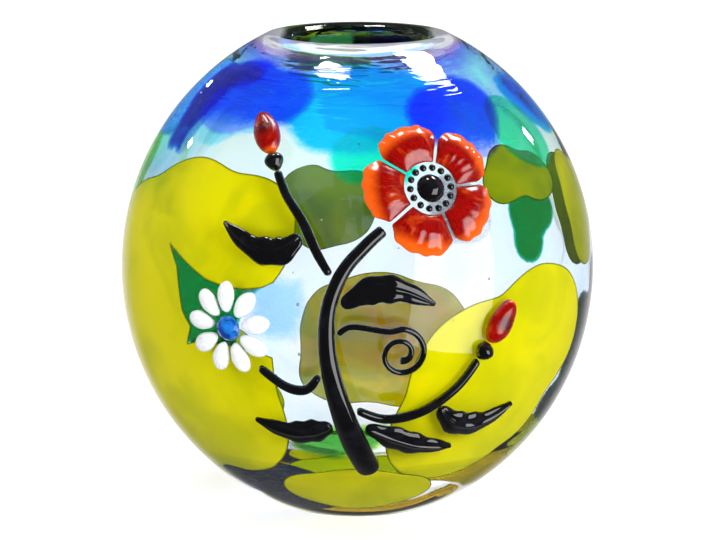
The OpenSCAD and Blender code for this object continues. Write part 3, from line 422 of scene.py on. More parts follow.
plates = {
    # opaque ones: at azimuth and latitude, size in m, level from the outside, lobes east, north and radius in sizes
    "lime_left": {"finish": "lime", "at": (-56, -10), "size": 0.072, "level": 1,
                  "lobes": ((-0.12, -0.02, 1), (0.56, 0.66, 0.41), (0.28, -0.42, 0.55), (0.16, 0.5, 0.64)),
                  "cut": ((0.07, 0.63), (0.17, 0.5), (0.21, 0.35), (0.24, 0.22),
                          (0.31, 0.12), (0.25, -0.01), (0.39, 0.03), (0.51, 0.03),
                          (0.66, 0.01), (0.79, -0.02), (0.88, -0.06), (1.3, -0.07),
                          (1.3, 0.62), (0.97, 0.62), (0.96, 0.5), (0.92, 0.44),
                          (0.84, 0.4), (0.71, 0.39), (0.6, 0.4), (0.44, 0.44),
                          (0.27, 0.53))},
    "lime_right": {"finish": "lime", "at": (38, -18), "size": 0.056, "level": 1,
                   "lobes": ((0.42, 0.3, 0.63), (-0.12, 0.04, 0.7), (-0.22, -0.42, 0.64), (0.18, -0.28, 0.5))},
    "lime_foot": {"finish": "lime", "at": (0, -51), "size": 0.030, "level": 4,
                  "lobes": ((0, -0.10, 0.86), (-0.52, -0.12, 0.62), (0.56, -0.16, 0.58))},
    "lime_edge": {"finish": "lime_dull", "at": (77, 17), "size": 0.030, "level": 0,
                  "lobes": ((0, 0.42, 0.46), (0, 0, 0.62), (-0.12, -0.5, 0.5), (0.35, 0.1, 0.56))},
    "lime_back_left": {"finish": "lime", "at": (-120, -38), "size": 0.0394, "level": 1,
                       "lobes": ((0, 0, 0.82), (0.35, -0.35, 0.60), (-0.42, 0.30, 0.52))},
    "lime_back_right": {"finish": "lime", "at": (120, -33), "size": 0.042, "level": 1,
                        "lobes": ((0, 0, 0.8), (-0.34, -0.42, 0.58), (0.3, 0.42, 0.48))},
    "olive_upper": {"finish": "olive", "at": (-170, 6), "size": 0.029, "level": 2,
                    "lobes": ((-0.3, -0.12, 0.74), (0.36, 0.2, 0.62), (0.1, -0.42, 0.52), (-0.62, 0.34, 0.34))},
    "olive_lower": {"finish": "olive_warm", "at": (172, -31), "size": 0.044, "level": 2,
                    "lobes": ((0, 0, 0.89), (0.42, 0.1, 0.66), (-0.45, 0.05, 0.74), (0.4, -0.3, 0.62),
                              (-0.35, -0.32, 0.6))},
    "olive_right": {"finish": "olive_dark", "at": (50, 27), "size": 0.022, "level": 2,
                    "lobes": ((-0.2, 0.16, 0.6), (-0.62, -0.1, 0.44), (0.5, -0.06, 0.56), (0.86, -0.16, 0.34))},
    # see-through ones
    "green_window": {"finish": "green", "at": (-43, 3), "size": 0.026, "level": 3, "grow": 0.0025,
                     "outline": ((-1, 1.15), (-0.8, 0.5), (-0.55, -0.2), (-0.3, -0.95),
                                 (0.75, -0.95), (0.8, -0.75), (0.92, -0.33), (1.12, 0.04),
                                 (1.4, 0.3), (1.5, 0.45), (0.5, 0.6), (-0.2, 0.95))},
    "green_right": {"finish": "green", "at": (50, 16), "size": 0.020, "level": 3,
                    "lobes": ((-0.05, 0.3, 0.62), (0.42, 0.34, 0.5), (-0.2, -0.4, 0.46))},
    "green_foot": {"finish": "green_light", "at": (-7, -32), "size": 0.013, "level": 0,
                   "lobes": ((-0.90, 0.10, 0.62), (0, 0, 0.78), (1.00, 0.16, 0.64), (1.70, 0.36, 0.40))},
    "green_neck": {"finish": "green_light", "at": (-166, 56), "size": 0.018, "level": 0,
                   "lobes": ((0, 0, 0.80), (-0.60, 0.10, 0.55), (0.62, -0.12, 0.50))},
    "spring_edge": {"finish": "spring", "at": (-92, 24), "size": 0.019, "level": 0,
                    "lobes": ((0, 0.20, 0.70), (0.10, -0.55, 0.62), (-0.40, 0.30, 0.60))},
    "cobalt_left": {"finish": "cobalt", "at": (-50, 49), "size": 0.027, "level": 2,
                    "lobes": ((-0.62, -0.28, 0.42), (0, -0.1, 0.8), (0.78, 0.06, 0.62), (-0.25, 0.16, 0.54))},
    "navy_streak": {"finish": "navy", "at": (-66, 46), "size": 0.014, "level": 0,
                    "lobes": ((1.05, 1.2, 0.45), (0.35, 1, 0.62), (-0.45, 0.6, 0.7), (-0.55, -0.15, 0.62),
                              (-0.35, -1.05, 0.52), (-0.35, -1.9, 0.42))},
    "azure_front": {"finish": "azure", "at": (0, 46), "size": 0.027, "level": 1,
                    "lobes": ((-0.86, 0.30, 0.60), (0, 0, 0.90), (0.84, 0.22, 0.74), (0.10, 0.40, 0.66),
                              (-0.52, -0.20, 0.62))},
    "cobalt_right": {"finish": "cobalt", "at": (36, 43), "size": 0.024, "level": 0,
                     "lobes": ((-0.34, 0.04, 0.7), (0.36, 0.24, 0.72), (0.2, -0.3, 0.62))},
    "aqua_spot": {"finish": "aqua", "at": (4, 34), "size": 0.017, "level": 3,
                  "lobes": ((-0.30, 0.10, 0.82), (0.56, -0.06, 0.72), (0.10, 0.30, 0.70))},
    "teal_spot": {"finish": "teal", "at": (60, 37), "size": 0.020, "level": 1,
                  "lobes": ((0, 0, 0.86), (0.36, -0.42, 0.62), (-0.12, 0.4, 0.6))},
    "sky_left": {"finish": "sky_bright", "at": (-86, 43), "size": 0.019, "level": 1, "grow": 0.006,
                 "lobes": ((0, 0, 0.80), (-0.42, -0.30, 0.62), (0.20, 0.42, 0.55))},
    "sky_right": {"finish": "sky", "at": (86, 42), "size": 0.018, "level": 2,
                  "lobes": ((0, 0, 0.80), (0.30, -0.52, 0.60), (-0.34, 0.40, 0.52))},
    "sky_window": {"finish": "ice", "at": (-21, 1), "size": 0.022, "level": 2, "grow": -0.0012,
                   "outline": ((-0.94, 0.72), (0.66, 0.6), (0.74, -0.1), (0.5, -0.72),
                               (-0.66, -0.66), (-0.5, -0.02))},
    "cobalt_back": {"finish": "cobalt_pale", "at": (168, 36), "size": 0.032, "level": 0,
                    "lobes": ((0, 0, 0.82), (0.62, 0.10, 0.60), (-0.66, 0.06, 0.62))},
    "azure_back": {"finish": "azure_pale", "at": (-128, 38), "size": 0.027, "level": 1,
                   "lobes": ((0, 0, 0.86), (0.66, 0.06, 0.62), (-0.66, -0.06, 0.64))},
    "aqua_back": {"finish": "aqua_pale", "at": (122, 38), "size": 0.027, "level": 1,
                  "lobes": ((0, 0, 0.84), (0.60, -0.16, 0.60), (-0.52, 0.10, 0.62))},
    "navy_foot": {"finish": "navy_deep", "at": (-38, -54), "size": 0.022, "level": 0,
                  "lobes": ((0, 0, 0.84), (-0.72, 0.16, 0.62), (0.5, -0.1, 0.5), (0.1, -0.5, 0.7))},
    "opal_right": {"finish": "opal", "at": (27, 22), "size": 0.017, "level": 0,
                   "lobes": ((-0.10, 0.20, 0.72), (0.32, -0.36, 0.62), (-0.32, -0.46, 0.46))},
    "smoke_right": {"finish": "smoke", "at": (78, -17), "size": 0.019, "level": 2,
                    "lobes": ((0, 0.9, 0.62), (0, 0, 0.7), (0.16, -0.9, 0.62), (0.52, 0.1, 0.5),
                              (-0.5, -1.35, 0.55))},
}

finishes = {
    # opaque ones: main colour, clouds, rim and warm spots; the others: softness of the edge in m, how milky,
    # colour let through in the middle (tint) and at the edge (halo), and colour sent back (body)
    "lime": {"slot": "lime_glass", "opaque": True, "main": paint(208, 200, 0), "cloud": paint(186, 184, 4),
             "rim": paint(96, 96, 0), "warm": paint(222, 205, 0)},
    "lime_dull": {"slot": "lime_glass", "opaque": True, "main": paint(160, 160, 0), "cloud": paint(130, 136, 6),
                  "rim": paint(76, 82, 0), "warm": paint(176, 160, 0)},
    "olive_dark": {"slot": "olive_glass", "opaque": True, "main": paint(122, 134, 4), "cloud": paint(84, 108, 14),
                   "rim": paint(46, 66, 4), "warm": paint(160, 140, 0)},
    "olive": {"slot": "olive_glass", "opaque": True, "main": paint(150, 160, 6), "cloud": paint(104, 128, 24),
              "rim": paint(56, 84, 10), "warm": paint(240, 168, 20)},
    "olive_warm": {"slot": "olive_glass", "opaque": True, "main": paint(250, 208, 0), "cloud": paint(188, 172, 0),
                   "rim": paint(100, 104, 0), "warm": paint(255, 160, 0)},
    "green": {"slot": "green_glass", "soft": 0.0016, "milk": 0.05, "tint": (0.0, 0.20, 0.02),
              "halo": (0.05, 0.50, 0.36), "body": paint(0, 130, 60)},
    "green_light": {"slot": "green_glass", "soft": 0.0030, "milk": 0.10, "tint": (0.10, 0.46, 0.06),
                    "halo": (0.55, 0.80, 0.20), "body": paint(40, 140, 40)},
    "spring": {"slot": "spring_glass", "soft": 0.0020, "milk": 0.85, "tint": (0.60, 0.92, 0.34),
               "body": paint(200, 245, 110)},
    "cobalt": {"slot": "cobalt_glass", "soft": 0.0034, "milk": 0.05, "tint": (0.0, 0.09, 1.0),
               "halo": (0.50, 0.48, 1.0), "body": paint(20, 60, 255), "fall": (-0.95, -0.25)},
    "navy": {"slot": "navy_glass", "soft": 0.0032, "milk": 0.10, "tint": (0.0, 0.05, 0.52),
             "halo": (0.16, 0.34, 0.92), "body": paint(30, 45, 120)},
    "navy_deep": {"slot": "navy_glass", "soft": 0.0012, "milk": 0.30, "tint": (0.03, 0.04, 0.12),
                  "halo": (0.10, 0.12, 0.30), "body": paint(48, 52, 96)},
    "azure": {"slot": "azure_glass", "soft": 0.0036, "milk": 0.05, "tint": (0.0, 0.60, 0.97),
              "halo": (0.45, 0.88, 1.0), "body": paint(0, 170, 255)},
    "aqua": {"slot": "aqua_glass", "soft": 0.0030, "milk": 0.08, "tint": (0.0, 0.90, 0.62),
             "halo": (0.50, 0.98, 0.90), "body": paint(0, 235, 205)},
    "teal": {"slot": "teal_glass", "soft": 0.0014, "milk": 0.10, "tint": (0.07, 0.70, 0.42),
             "halo": (0.30, 0.88, 0.66), "body": paint(70, 200, 150)},
    "sky": {"slot": "sky_glass", "soft": 0.0030, "milk": 0.02, "tint": (0.0, 0.42, 0.95), "halo": (0.06, 0.66, 1.0),
            "body": paint(0, 150, 210)},
    "sky_bright": {"slot": "sky_glass", "soft": 0.0022, "milk": 0.85, "tint": (0.0, 0.55, 1.0),
                   "halo": (0.06, 0.66, 1.0), "body": paint(0, 176, 255)},
    "ice": {"slot": "sky_glass", "soft": 0.0050, "milk": 0.14, "tint": (0.46, 0.74, 1.0), "halo": (0.74, 0.88, 1.0),
            "body": paint(170, 215, 255)},
    "cobalt_pale": {"slot": "cobalt_glass", "soft": 0.0050, "milk": 0.03, "tint": (0.34, 0.66, 1.0),
                    "halo": (0.70, 0.72, 1.0), "body": paint(80, 110, 255)},
    "azure_pale": {"slot": "azure_glass", "soft": 0.0050, "milk": 0.03, "tint": (0.36, 0.84, 1.0),
                   "body": paint(90, 190, 255)},
    "aqua_pale": {"slot": "aqua_glass", "soft": 0.0050, "milk": 0.03, "tint": (0.22, 1.0, 0.86),
                  "body": paint(90, 240, 215)},
    "opal": {"slot": "opal_glass", "soft": 0.0020, "milk": 0.70, "tint": (0.66, 0.68, 0.72),
             "body": paint(182, 186, 190)},
    "smoke": {"slot": "smoke_glass", "soft": 0.0018, "milk": 0.25, "tint": (0.03, 0.05, 0.036),
              "halo": (0.16, 0.22, 0.18), "body": paint(62, 72, 66)},
}

opaqueLook = {
    "broad": (26, 3.0, 0.5, 0.6),        # noise scale, detail, roughness and distortion
    "fine": (150, 4.0, 0.6),
    "warm": (14, 2.0, 0.5, 1.2),
    "cloudy": (0.38, 0.66), "warmed": (0.60, 0.74), "warmShare": 0.55, "fineShare": 0.10,
    "rim": (0.00012, 0.00085),           # distances from the edge
    "rough": 0.6, "bump": (0.25, 0.0015),
}

clearLook = {
    "flow": (7.0, 3.0, 0.55, 1.4),
    "streak": (5.0, 4.0, 0.6, 2.2),
    "streakStretch": (1.0, 4.5, 1.0),
    "margin": 0.9,                       # of the softness, by which the plate is larger than its outline
    "streaked": (0.22, 0.62), "streakShare": 0.34,
    "fallNoise": 0.3, "fallShare": 0.75,
    "haloed": (0.0, 0.45), "tinted": (0.30, 1.0),
    "whitened": (0.3, 0.8), "whiteShare": 0.4, "milked": (0.15, 0.75),
    "rough": 0.7,
}


def opaquePlate(name, look):
    surface, make = Surface(name), opaqueLook
    broad = surface.clouds(*make["broad"])
    warm = surface.clouds(*make["warm"]).between(*make["warmed"]) * make["warmShare"]
    colour = surface.blend(broad.between(*make["cloudy"]), look["main"], look["cloud"])
    colour = surface.blend(warm, colour, look["warm"])
    colour = surface.blend(surface.clouds(*make["fine"]) * make["fineShare"], colour, look["cloud"])
    colour = surface.blend(1 - surface.attribute("edge").between(*make["rim"]), colour, look["rim"])
    return surface.finish(surface.skin({"Base Color": colour, "Roughness": make["rough"], "Specular IOR Level": 0.0,
                                        "Normal": surface.bump(broad, *make["bump"])}))


def rooted(colour):        # a plate is crossed twice, so each side lets the root through
    return tuple(math.sqrt(part) for part in colour[:3]) + (1,)


def clearPlate(name, look):
    surface, make = Surface(name), clearLook
    margin = look["soft"] * make["margin"]
    flow = surface.clouds(*make["flow"], surface.place("UV"))
    strength = (surface.attribute("edge") + (flow - 0.5) * margin).between(-margin, look["soft"])
    streak = surface.clouds(*make["streak"], surface.place("UV", Scale=make["streakStretch"]))
    depth = strength * (streak.between(*make["streaked"]) * make["streakShare"] + (1 - make["streakShare"]))
    if "fall" in look:        # where the colour thins out downwards, in flow units from the plate's middle
        low, high = (layer["flowMiddle"] + end for end in look["fall"])
        fall = (surface.part(1, "UV") + (flow - 0.5) * make["fallNoise"]).between(low, high)
        depth = depth * (fall * make["fallShare"] + (1 - make["fallShare"]))
    rim = surface.veil(rooted(look.get("halo", look["tint"])))
    tinted = surface.mixShader(strength.between(*make["haloed"]), surface.veil(), rim)
    tinted = surface.mixShader(depth.between(*make["tinted"]), tinted, surface.veil(rooted(look["tint"])))
    pale = surface.blend(streak.between(*make["whitened"]) * make["whiteShare"], look["body"], (1, 1, 1, 1))
    milk = surface.skin({"Base Color": pale, "Roughness": make["rough"], "Specular IOR Level": 0.0})
    milky = strength * streak.between(*make["milked"]) * look["milk"]
    return surface.finish(surface.mixShader(milky, tinted, milk))


plateMaterials = {name: (opaquePlate if look.get("opaque") else clearPlate)(name + "_plate", look)
                  for name, look in finishes.items()}


def segmentDistance(point, first, second):
    along = second - first
    share = max(0, min(1, (point - first).dot(along) / along.length_squared))
    return (point - first - along * share).length


def inOutline(point, corners):        # distance to a drawn outline, plus inside
    inside, nearest = False, 1e9
    for first, second in zip(corners, corners[1:] + corners[:1]):
        nearest = min(nearest, segmentDistance(point, first, second))
        if (first.y > point.y) != (second.y > point.y):
            cross = first.x + (point.y - first.y) / (second.y - first.y) * (second.x - first.x)
            inside = inside != (point.x < cross)
    return nearest if inside else -nearest


def plateField(plate):
    size, melt = plate["size"], layer["melt"]
    lobes = [(Vector((x, y)) * size, r * size) for x, y, r in plate.get("lobes", ())]
    drawn = [Vector(corner) * size for corner in plate.get("outline", ())]
    cut = [Vector(corner) * size for corner in plate.get("cut", ())]

    def field(point):
        if drawn:
            value = inOutline(point, drawn)
        else:
            deep = [r - (point - centre).length for centre, r in lobes]
            top = max(deep)
            value = top + melt * math.log(sum(math.exp((d - top) / melt) for d in deep))
        if cut:
            value = min(value, -inOutline(point, cut))
        swell = noise.noise(Vector((point.x, point.y, size)) * layer["swellScale"])
        return value + layer["swell"] * swell + plate.get("grow", 0)
    return field


def fieldSlope(field, point, step=0.0004):
    ways = Vector((step, 0)), Vector((0, step))
    return Vector([field(point + way) - field(point - way) for way in ways]) / (2 * step)


def plateFrame(at):
    a, b = math.radians(at[0]), math.radians(at[1])
    out = Vector((math.cos(b) * math.sin(a), -math.cos(b) * math.cos(a), math.sin(b)))
    east = Vector((math.cos(a), math.sin(a), 0))
    return onGlass(*at), east, out.cross(east), out


def sinkTo(point, out, depth, leastSlope=0.12, close=1e-7):
    # along a line to the layer's level: that of the side's arc, or of the bowl where it is deeper
    shells = ((glassBody["arcIn"], glassBody["waistHeight"], glassBody["arcRadius"] - depth),
              (0, glassBody["floorCentre"], glassBody["floorRadius"] + glassBody["wall"] - depth))
    for turn in range(40):
        across = max(math.hypot(point.x, point.y), 1e-6)
        steps = []
        for inward, height, reach in shells:
            wide, tall = across + inward, point.z - height
            far = math.hypot(wide, tall)
            slope = (wide * (point.x * out.x + point.y * out.y) / across + tall * out.z) / far
            steps.append((far - reach) / max(slope, leastSlope))
        step = max(steps)
        point = point - out * step
        if abs(step) < close:
            break
    return point


def makePlate(name, plate):
    look = finishes[plate["finish"]]
    field = plateField(plate)
    margin = 0.0 if look.get("opaque") else look["soft"] * clearLook["margin"]
    size = plate["size"]
    if plate.get("lobes"):
        wide = max(max(abs(x), abs(y)) + r for x, y, r in plate["lobes"]) * size + margin + layer["lobeSpare"]
    else:
        wide = max(max(abs(x), abs(y)) for x, y in plate["outline"]) * size + margin + layer["outlineSpare"]
    cell = min(layer["cell"], size / layer["cellsPerSize"])
    count = int(2 * wide / cell)
    bm = bmesh.new()
    bmesh.ops.create_grid(bm, x_segments=count, y_segments=count, size=wide)
    cell = 2 * wide / count
    past = [vert for vert in bm.verts if field(vert.co.xy) + margin < -layer["ragged"] * cell]
    bmesh.ops.delete(bm, geom=past, context="VERTS")
    for turn in range(3):        # the ragged border is drawn to the outline and evened
        border = [vert for vert in bm.verts if vert.is_boundary]
        place = {}
        for vert in border:
            near = [edge.other_vert(vert).co for edge in vert.link_edges if edge.is_boundary]
            middle = sum(near, Vector()) / len(near)
            spot = vert.co.lerp(middle, layer["evening"]).xy if turn else vert.co.xy
            for again in range(3):
                slope = fieldSlope(field, spot)
                spot = spot - slope * (field(spot) + margin) / max(slope.length_squared, 0.25)
            place[vert] = spot
        for vert, spot in place.items():
            vert.co.x, vert.co.y = spot.x, spot.y
    loose = [vert for vert in bm.verts if not vert.link_faces]
    bmesh.ops.delete(bm, geom=loose, context="VERTS")
    bmesh.ops.dissolve_degenerate(bm, edges=bm.edges, dist=cell * layer["dissolve"])
    depth = bm.verts.layers.float.new("edge")
    uv = bm.loops.layers.uv.new("flow")
    for vert in bm.verts:
        vert[depth] = field(vert.co.xy)
    for face in bm.faces:
        for loop in face.loops:
            loop[uv].uv = loop.vert.co.xy / layer["flowUnit"] + Vector((1, 1)) * layer["flowMiddle"]
    start, east, north, out = plateFrame(plate["at"])
    sunk = layer["depths"][plate["level"]]
    for vert in bm.verts:
        vert.co = sinkTo(start + east * vert.co.x + north * vert.co.y, out, sunk)
    crest = arcPoint(glassBody["arcRadius"] - sunk, math.radians(layer["topLatitude"])).z
    if any(vert.co.z > crest for vert in bm.verts):
        bmesh.ops.bisect_plane(bm, geom=bm.verts[:] + bm.edges[:] + bm.faces[:], plane_co=(0, 0, crest),
                               plane_no=(0, 0, 1), clear_outer=True)
    bmesh.ops.recalc_face_normals(bm, faces=bm.faces)
    if sum(face.normal.dot(out) * face.calc_area() for face in bm.faces) < 0:
        bmesh.ops.reverse_faces(bm, faces=bm.faces)
    piece = newObject(name + "_glass", bm, plateMaterials[plate["finish"]])
    wall = piece.modifiers.new("wall", "SOLIDIFY")
    wall.thickness, wall.offset = layer["thickness"], 0
    return dress(piece, look["slot"], name)


total = 0
for name, plate in plates.items():
    total += len(makePlate(name, plate).data.polygons)
print("plates:", len(plates), "of", total, "faces")


# the wash of blue that bled round the shoulder while the glass was blown
wash = {
    "low": 17.0, "high": 60.0, "depth": 0.0071, "steps": 44, "turnSteps": 176,        # latitudes, metres and counts
    "azure": (0.38, 0.84, 1.0, 1), "cobalt": (0.38, 0.54, 1.0, 1), "lilac": (0.80, 0.76, 1.0, 1),
    "aqua": (0.46, 1.0, 0.94, 1),
    "patch": (15, 2.0, 0.5, 0.8), "patched": (0.40, 0.58),
    "other": (11, 2.0, 0.5, 1.4), "otherAt": (0.3, 0.7, 0.2), "othered": (0.46, 0.60), "otherShare": 0.8,
    "ragged": (24, 3.0, 0.5, 1.0), "raggedShare": 0.45,
    "left": (0.056, 0.100), "leftShare": 0.46,        # it comes lower on the left
    "dense": (0.34, 0.86), "densest": 0.85, "lilacEdge": (0.40, 0.66), "lilacShare": 0.8,
}


def spunBand(name, band):        # a closed turn of the side's arc, with its height as an attribute
    bm = bmesh.new()
    reach = glassBody["arcRadius"] - band["depth"]
    span = band["high"] - band["low"]
    chain = [bm.verts.new(arcPoint(reach, math.radians(band["low"] + span * k / band["steps"])))
             for k in range(band["steps"] + 1)]
    for first, second in zip(chain, chain[1:]):
        bm.edges.new((first, second))
    bmesh.ops.spin(bm, geom=bm.verts[:] + bm.edges[:], cent=(0, 0, 0), axis=(0, 0, 1), angle=math.tau,
                   steps=band["turnSteps"], use_merge=True)
    bmesh.ops.remove_doubles(bm, verts=bm.verts, dist=glassBody["weld"])
    bmesh.ops.recalc_face_normals(bm, faces=bm.faces)
    rise = bm.verts.layers.float.new("rise")
    for vert in bm.verts:
        across = math.hypot(vert.co.x, vert.co.y) + glassBody["arcIn"]
        angle = math.degrees(math.atan2(vert.co.z - glassBody["waistHeight"], across))
        vert[rise] = (angle - band["low"]) / span
    piece = newObject(name, bm)
    wall = piece.modifiers.new("wall", "SOLIDIFY")
    wall.thickness, wall.offset = layer["thickness"] / 2, 0
    return piece


surface = Surface("shoulder_wash")
rise = surface.attribute("rise")
patch = surface.clouds(*wash["patch"]).between(*wash["patched"])
other = surface.clouds(*wash["other"], surface.place(Location=wash["otherAt"])).between(*wash["othered"])
fade = rise + (surface.clouds(*wash["ragged"]) - 0.5) * wash["raggedShare"]
fade = fade + (-1 * surface.part(0)).between(*wash["left"]) * wash["leftShare"]
density = fade.between(*wash["dense"]) * wash["densest"]
stain = {key: surface.veil(rooted(wash[key])) for key in ("azure", "cobalt", "aqua", "lilac")}
tinted = surface.mixShader(patch, stain["azure"], stain["cobalt"])
tinted = surface.mixShader(other * wash["otherShare"], tinted, stain["aqua"])
tinted = surface.mixShader((1 - fade.between(*wash["lilacEdge"])) * wash["lilacShare"], tinted, stain["lilac"])
washed = spunBand("shoulder_wash", wash)
washed.data.materials.append(surface.finish(surface.mixShader(density, surface.veil(), tinted)))
dress(washed, "azure_glass")

# the cool cast of the clear glass below it
cast = {
    "low": -50.0, "high": 38.0, "depth": 0.00882, "steps": 60, "turnSteps": 160,
    "ice": (0.84, 0.92, 1.0, 1), "mint": (0.88, 0.985, 0.955, 1), "grey": (0.90, 0.91, 0.96, 1),
    "patch": (13, 3.0, 0.5, 1.2), "patched": (0.40, 0.62),
    "mintShift": 0.5, "mintEdge": (0.66, 0.92), "start": (0.0, 0.16),        # heights as shares of the band
}

surface = Surface("cool_cast")
rise = surface.attribute("rise")
patch = surface.clouds(*cast["patch"])
stain = {key: surface.veil(rooted(cast[key])) for key in ("ice", "grey", "mint")}
tinted = surface.mixShader(patch.between(*cast["patched"]), stain["ice"], stain["grey"])
minted = (rise + (patch - 0.5) * cast["mintShift"]).between(*cast["mintEdge"])
tinted = surface.mixShader(minted, tinted, stain["mint"])
cooled = spunBand("cool_cast", cast)
cooled.data.materials.append(surface.finish(surface.mixShader(rise.between(*cast["start"]), surface.veil(), tinted)))
dress(cooled, "clear_glass")


# the soft lavender ring round the neck, with painted shade on its far side
collar = {
    "low": 50.5, "high": 62.0, "depth": 0.0079, "steps": 18, "turnSteps": 160,
    # the plum veil and the dark colour are the painted shade of the far side
    "lavender": (0.66, 0.58, 1.0), "shadePlum": (0.44, 0.20, 0.42, 1), "dark": paint(38, 10, 34),
    "flow": (38, 3.0, 0.6, 1.0), "flowStretch": (1, 1, 0.5),
    "ragged": 0.8, "rising": (0.25, 0.85),
    "shadeRagged": 0.3, "shadeEdge": (0.72, 0.92), "behind": (-0.004, 0.022),        # the far side alone gets painted shade
    "shadePlumShare": 0.75, "shadeShare": 0.3, "rough": 0.6,
}

surface = Surface("lavender_ring")
edge = surface.attribute("rise")
flow = surface.clouds(*collar["flow"], surface.place(Scale=collar["flowStretch"])) - 0.5
strength = (edge + flow * collar["ragged"]).between(*collar["rising"])
# painted shade: the ring's far side, seen across the mouth, is darkened
dark = (edge + flow * collar["shadeRagged"]).between(*collar["shadeEdge"]) * surface.part(1).between(*collar["behind"])
tinted = surface.mixShader(strength, surface.veil(), surface.veil(rooted(collar["lavender"])))
tinted = surface.mixShader(dark * collar["shadePlumShare"], tinted, surface.veil(collar["shadePlum"]))
# a dark skin of painted shade, mixed in on the far side
milk = surface.skin({"Base Color": collar["dark"], "Roughness": collar["rough"], "Specular IOR Level": 0.0})
ring = spunBand("neck_ring", collar)
ring.data.materials.append(surface.finish(surface.mixShader(dark * collar["shadeShare"], tinted, milk)))
dress(ring, "lavender_glass", "lavender_collar")


# air bubbles caught in the clear glass
bubbles = {
    # azimuth, latitude and size in radii
    "spots": ((-14, 2, 0.9), (-14, -9, 0.8), (-13, -16, 0.8), (0.5, 37, 0.8), (7, 36, 0.7), (15, 31, 0.8),
              (20, 34, 1.0), (33, 6, 0.8), (-9, 20, 0.5), (10, 14, 0.5), (-5, -4, 0.5), (23, -2, 0.6),
              (5, -12, 0.5), (-20, -14, 0.6), (150, 10, 0.7), (-160, -12, 0.7), (120, 22, 0.8), (-110, 12, 0.8)),
    "radius": 0.00075,
    "depth": 0.0052, "depthSpread": 0.001,
    "stretch": (1.0, 1.35),
    "rounds": 3,
    "index": 0.667,        # of air, seen from within the glass
    "dents": (900, 2.0), "bump": (0.05, 0.0001),
}
bm = bmesh.new()
for azimuth, latitude, size in bubbles["spots"]:
    spot = onGlass(azimuth, latitude,
                   -bubbles["depth"] - random.uniform(-bubbles["depthSpread"], bubbles["depthSpread"]))
    made = bmesh.ops.create_icosphere(bm, subdivisions=bubbles["rounds"], radius=size * bubbles["radius"])
    bmesh.ops.scale(bm, vec=(1, 1, random.uniform(*bubbles["stretch"])), verts=made["verts"])
    bmesh.ops.translate(bm, vec=spot, verts=made["verts"])
surface = Surface("air_bubble")
hollow = surface.skin({"Base Color": (1, 1, 1, 1), "Roughness": 0.0, "IOR": bubbles["index"],
                       "Transmission Weight": 1.0,
                       "Normal": surface.bump(surface.clouds(*bubbles["dents"]), *bubbles["bump"])})
shaded = surface.mixShader(surface.ray("Is Shadow Ray"), hollow, surface.veil())
air = newObject("air_bubbles", bm, surface.finish(shaded))
dress(air, "clear_glass")
print("neck ring and bubbles")


# the glass laid hot on the outside
spray = {
    "weld": 0.00001, "joinAngle": 0.7, "joinShape": 0.9,
    # levels of smoothing, unevenness in metres and its noise scale
    "thin": (1, 0.00012, 160), "heart": (1, 0.0002, 300), "drops": (1, 0.00012, 220),
    "petal": (2, 0.00022, 190), "bud": (2, 0.0002, 200),
    "flowSizes": {"poppy": 0.031, "daisy": 0.024, "bud": 0.012},
    "coatRough": 0.02,
}


def fromNode(name, material, slotName, form):
    levels, wave, scale = spray[form]
    bm = bmesh.new()
    bm.from_mesh(nodes[name].data)
    bmesh.ops.remove_doubles(bm, verts=bm.verts, dist=spray["weld"])
    bmesh.ops.join_triangles(bm, faces=bm.faces, angle_face_threshold=spray["joinAngle"],
                             angle_shape_threshold=spray["joinShape"], cmp_seam=False, cmp_sharp=False,
                             cmp_uvs=False, cmp_vcols=False, cmp_materials=False)
    for vert in bm.verts:
        vert.co += vert.normal * wave * noise.noise(vert.co * scale)
    piece = newObject(name + "_glass", bm, material)
    soft = piece.modifiers.new("soft", "SUBSURF")
    soft.levels = soft.render_levels = levels
    return dress(piece, slotName, name)


def flowMap(piece, centre, size):        # UV that runs round and out from a flower's centre
    mesh = piece.data
    uv = mesh.uv_layers.new(name="flow")
    out = Vector((centre.x, centre.y, centre.z - glassBody["waistHeight"])).normalized()
    east = Vector((0, 0, 1)).cross(out).normalized()
    north = out.cross(east)
    for loop in mesh.loops:
        arm = mesh.vertices[loop.vertex_index].co - centre
        x, y = arm.dot(east), arm.dot(north)
        uv.data[loop.index].uv = (math.atan2(y, x) / math.tau + 0.5, math.hypot(x, y) / size)


def hotGlass(surface, colour, height, look):
    return surface.finish(surface.skin({
        "Base Color": colour, "Roughness": look["rough"], "IOR": look["index"], "Coat Weight": look["coat"],
        "Coat Roughness": spray["coatRough"], "Normal": surface.bump(height, *look["bump"])}))


black = {
    # main is the black's own colour; the paler sheen colour is a painted sheen
    "main": paint(9, 9, 11), "paintedSheen": paint(24, 26, 34),
    "streak": (60, 4.0, 0.6, 1.5), "streaked": (0.45, 0.75), "streakShare": 0.6,
    "dents": (210, 3.0, 0.5), "bump": (0.12, 0.0004),
    "rough": 0.055, "index": 1.52, "coat": 0.6,
}
surface = Surface("black_hot_glass")
# painted sheen: paler streaks in the black stand in for reflections
streak = surface.clouds(*black["streak"]).between(*black["streaked"]) * black["streakShare"]
colour = surface.blend(streak, black["main"], black["paintedSheen"])
blackGlass = hotGlass(surface, colour, surface.clouds(*black["dents"]), black)

for name in ("main_stem", "daisy_stem", "right_bud_stem", "left_bud_stem", "tendril", "foot_leaf", "low_leaf",
             "right_leaf", "middle_leaf", "upper_leaf", "poppy_stamens", "right_calyx", "left_calyx"):
    fromNode(name, blackGlass, "black_glass", "thin")

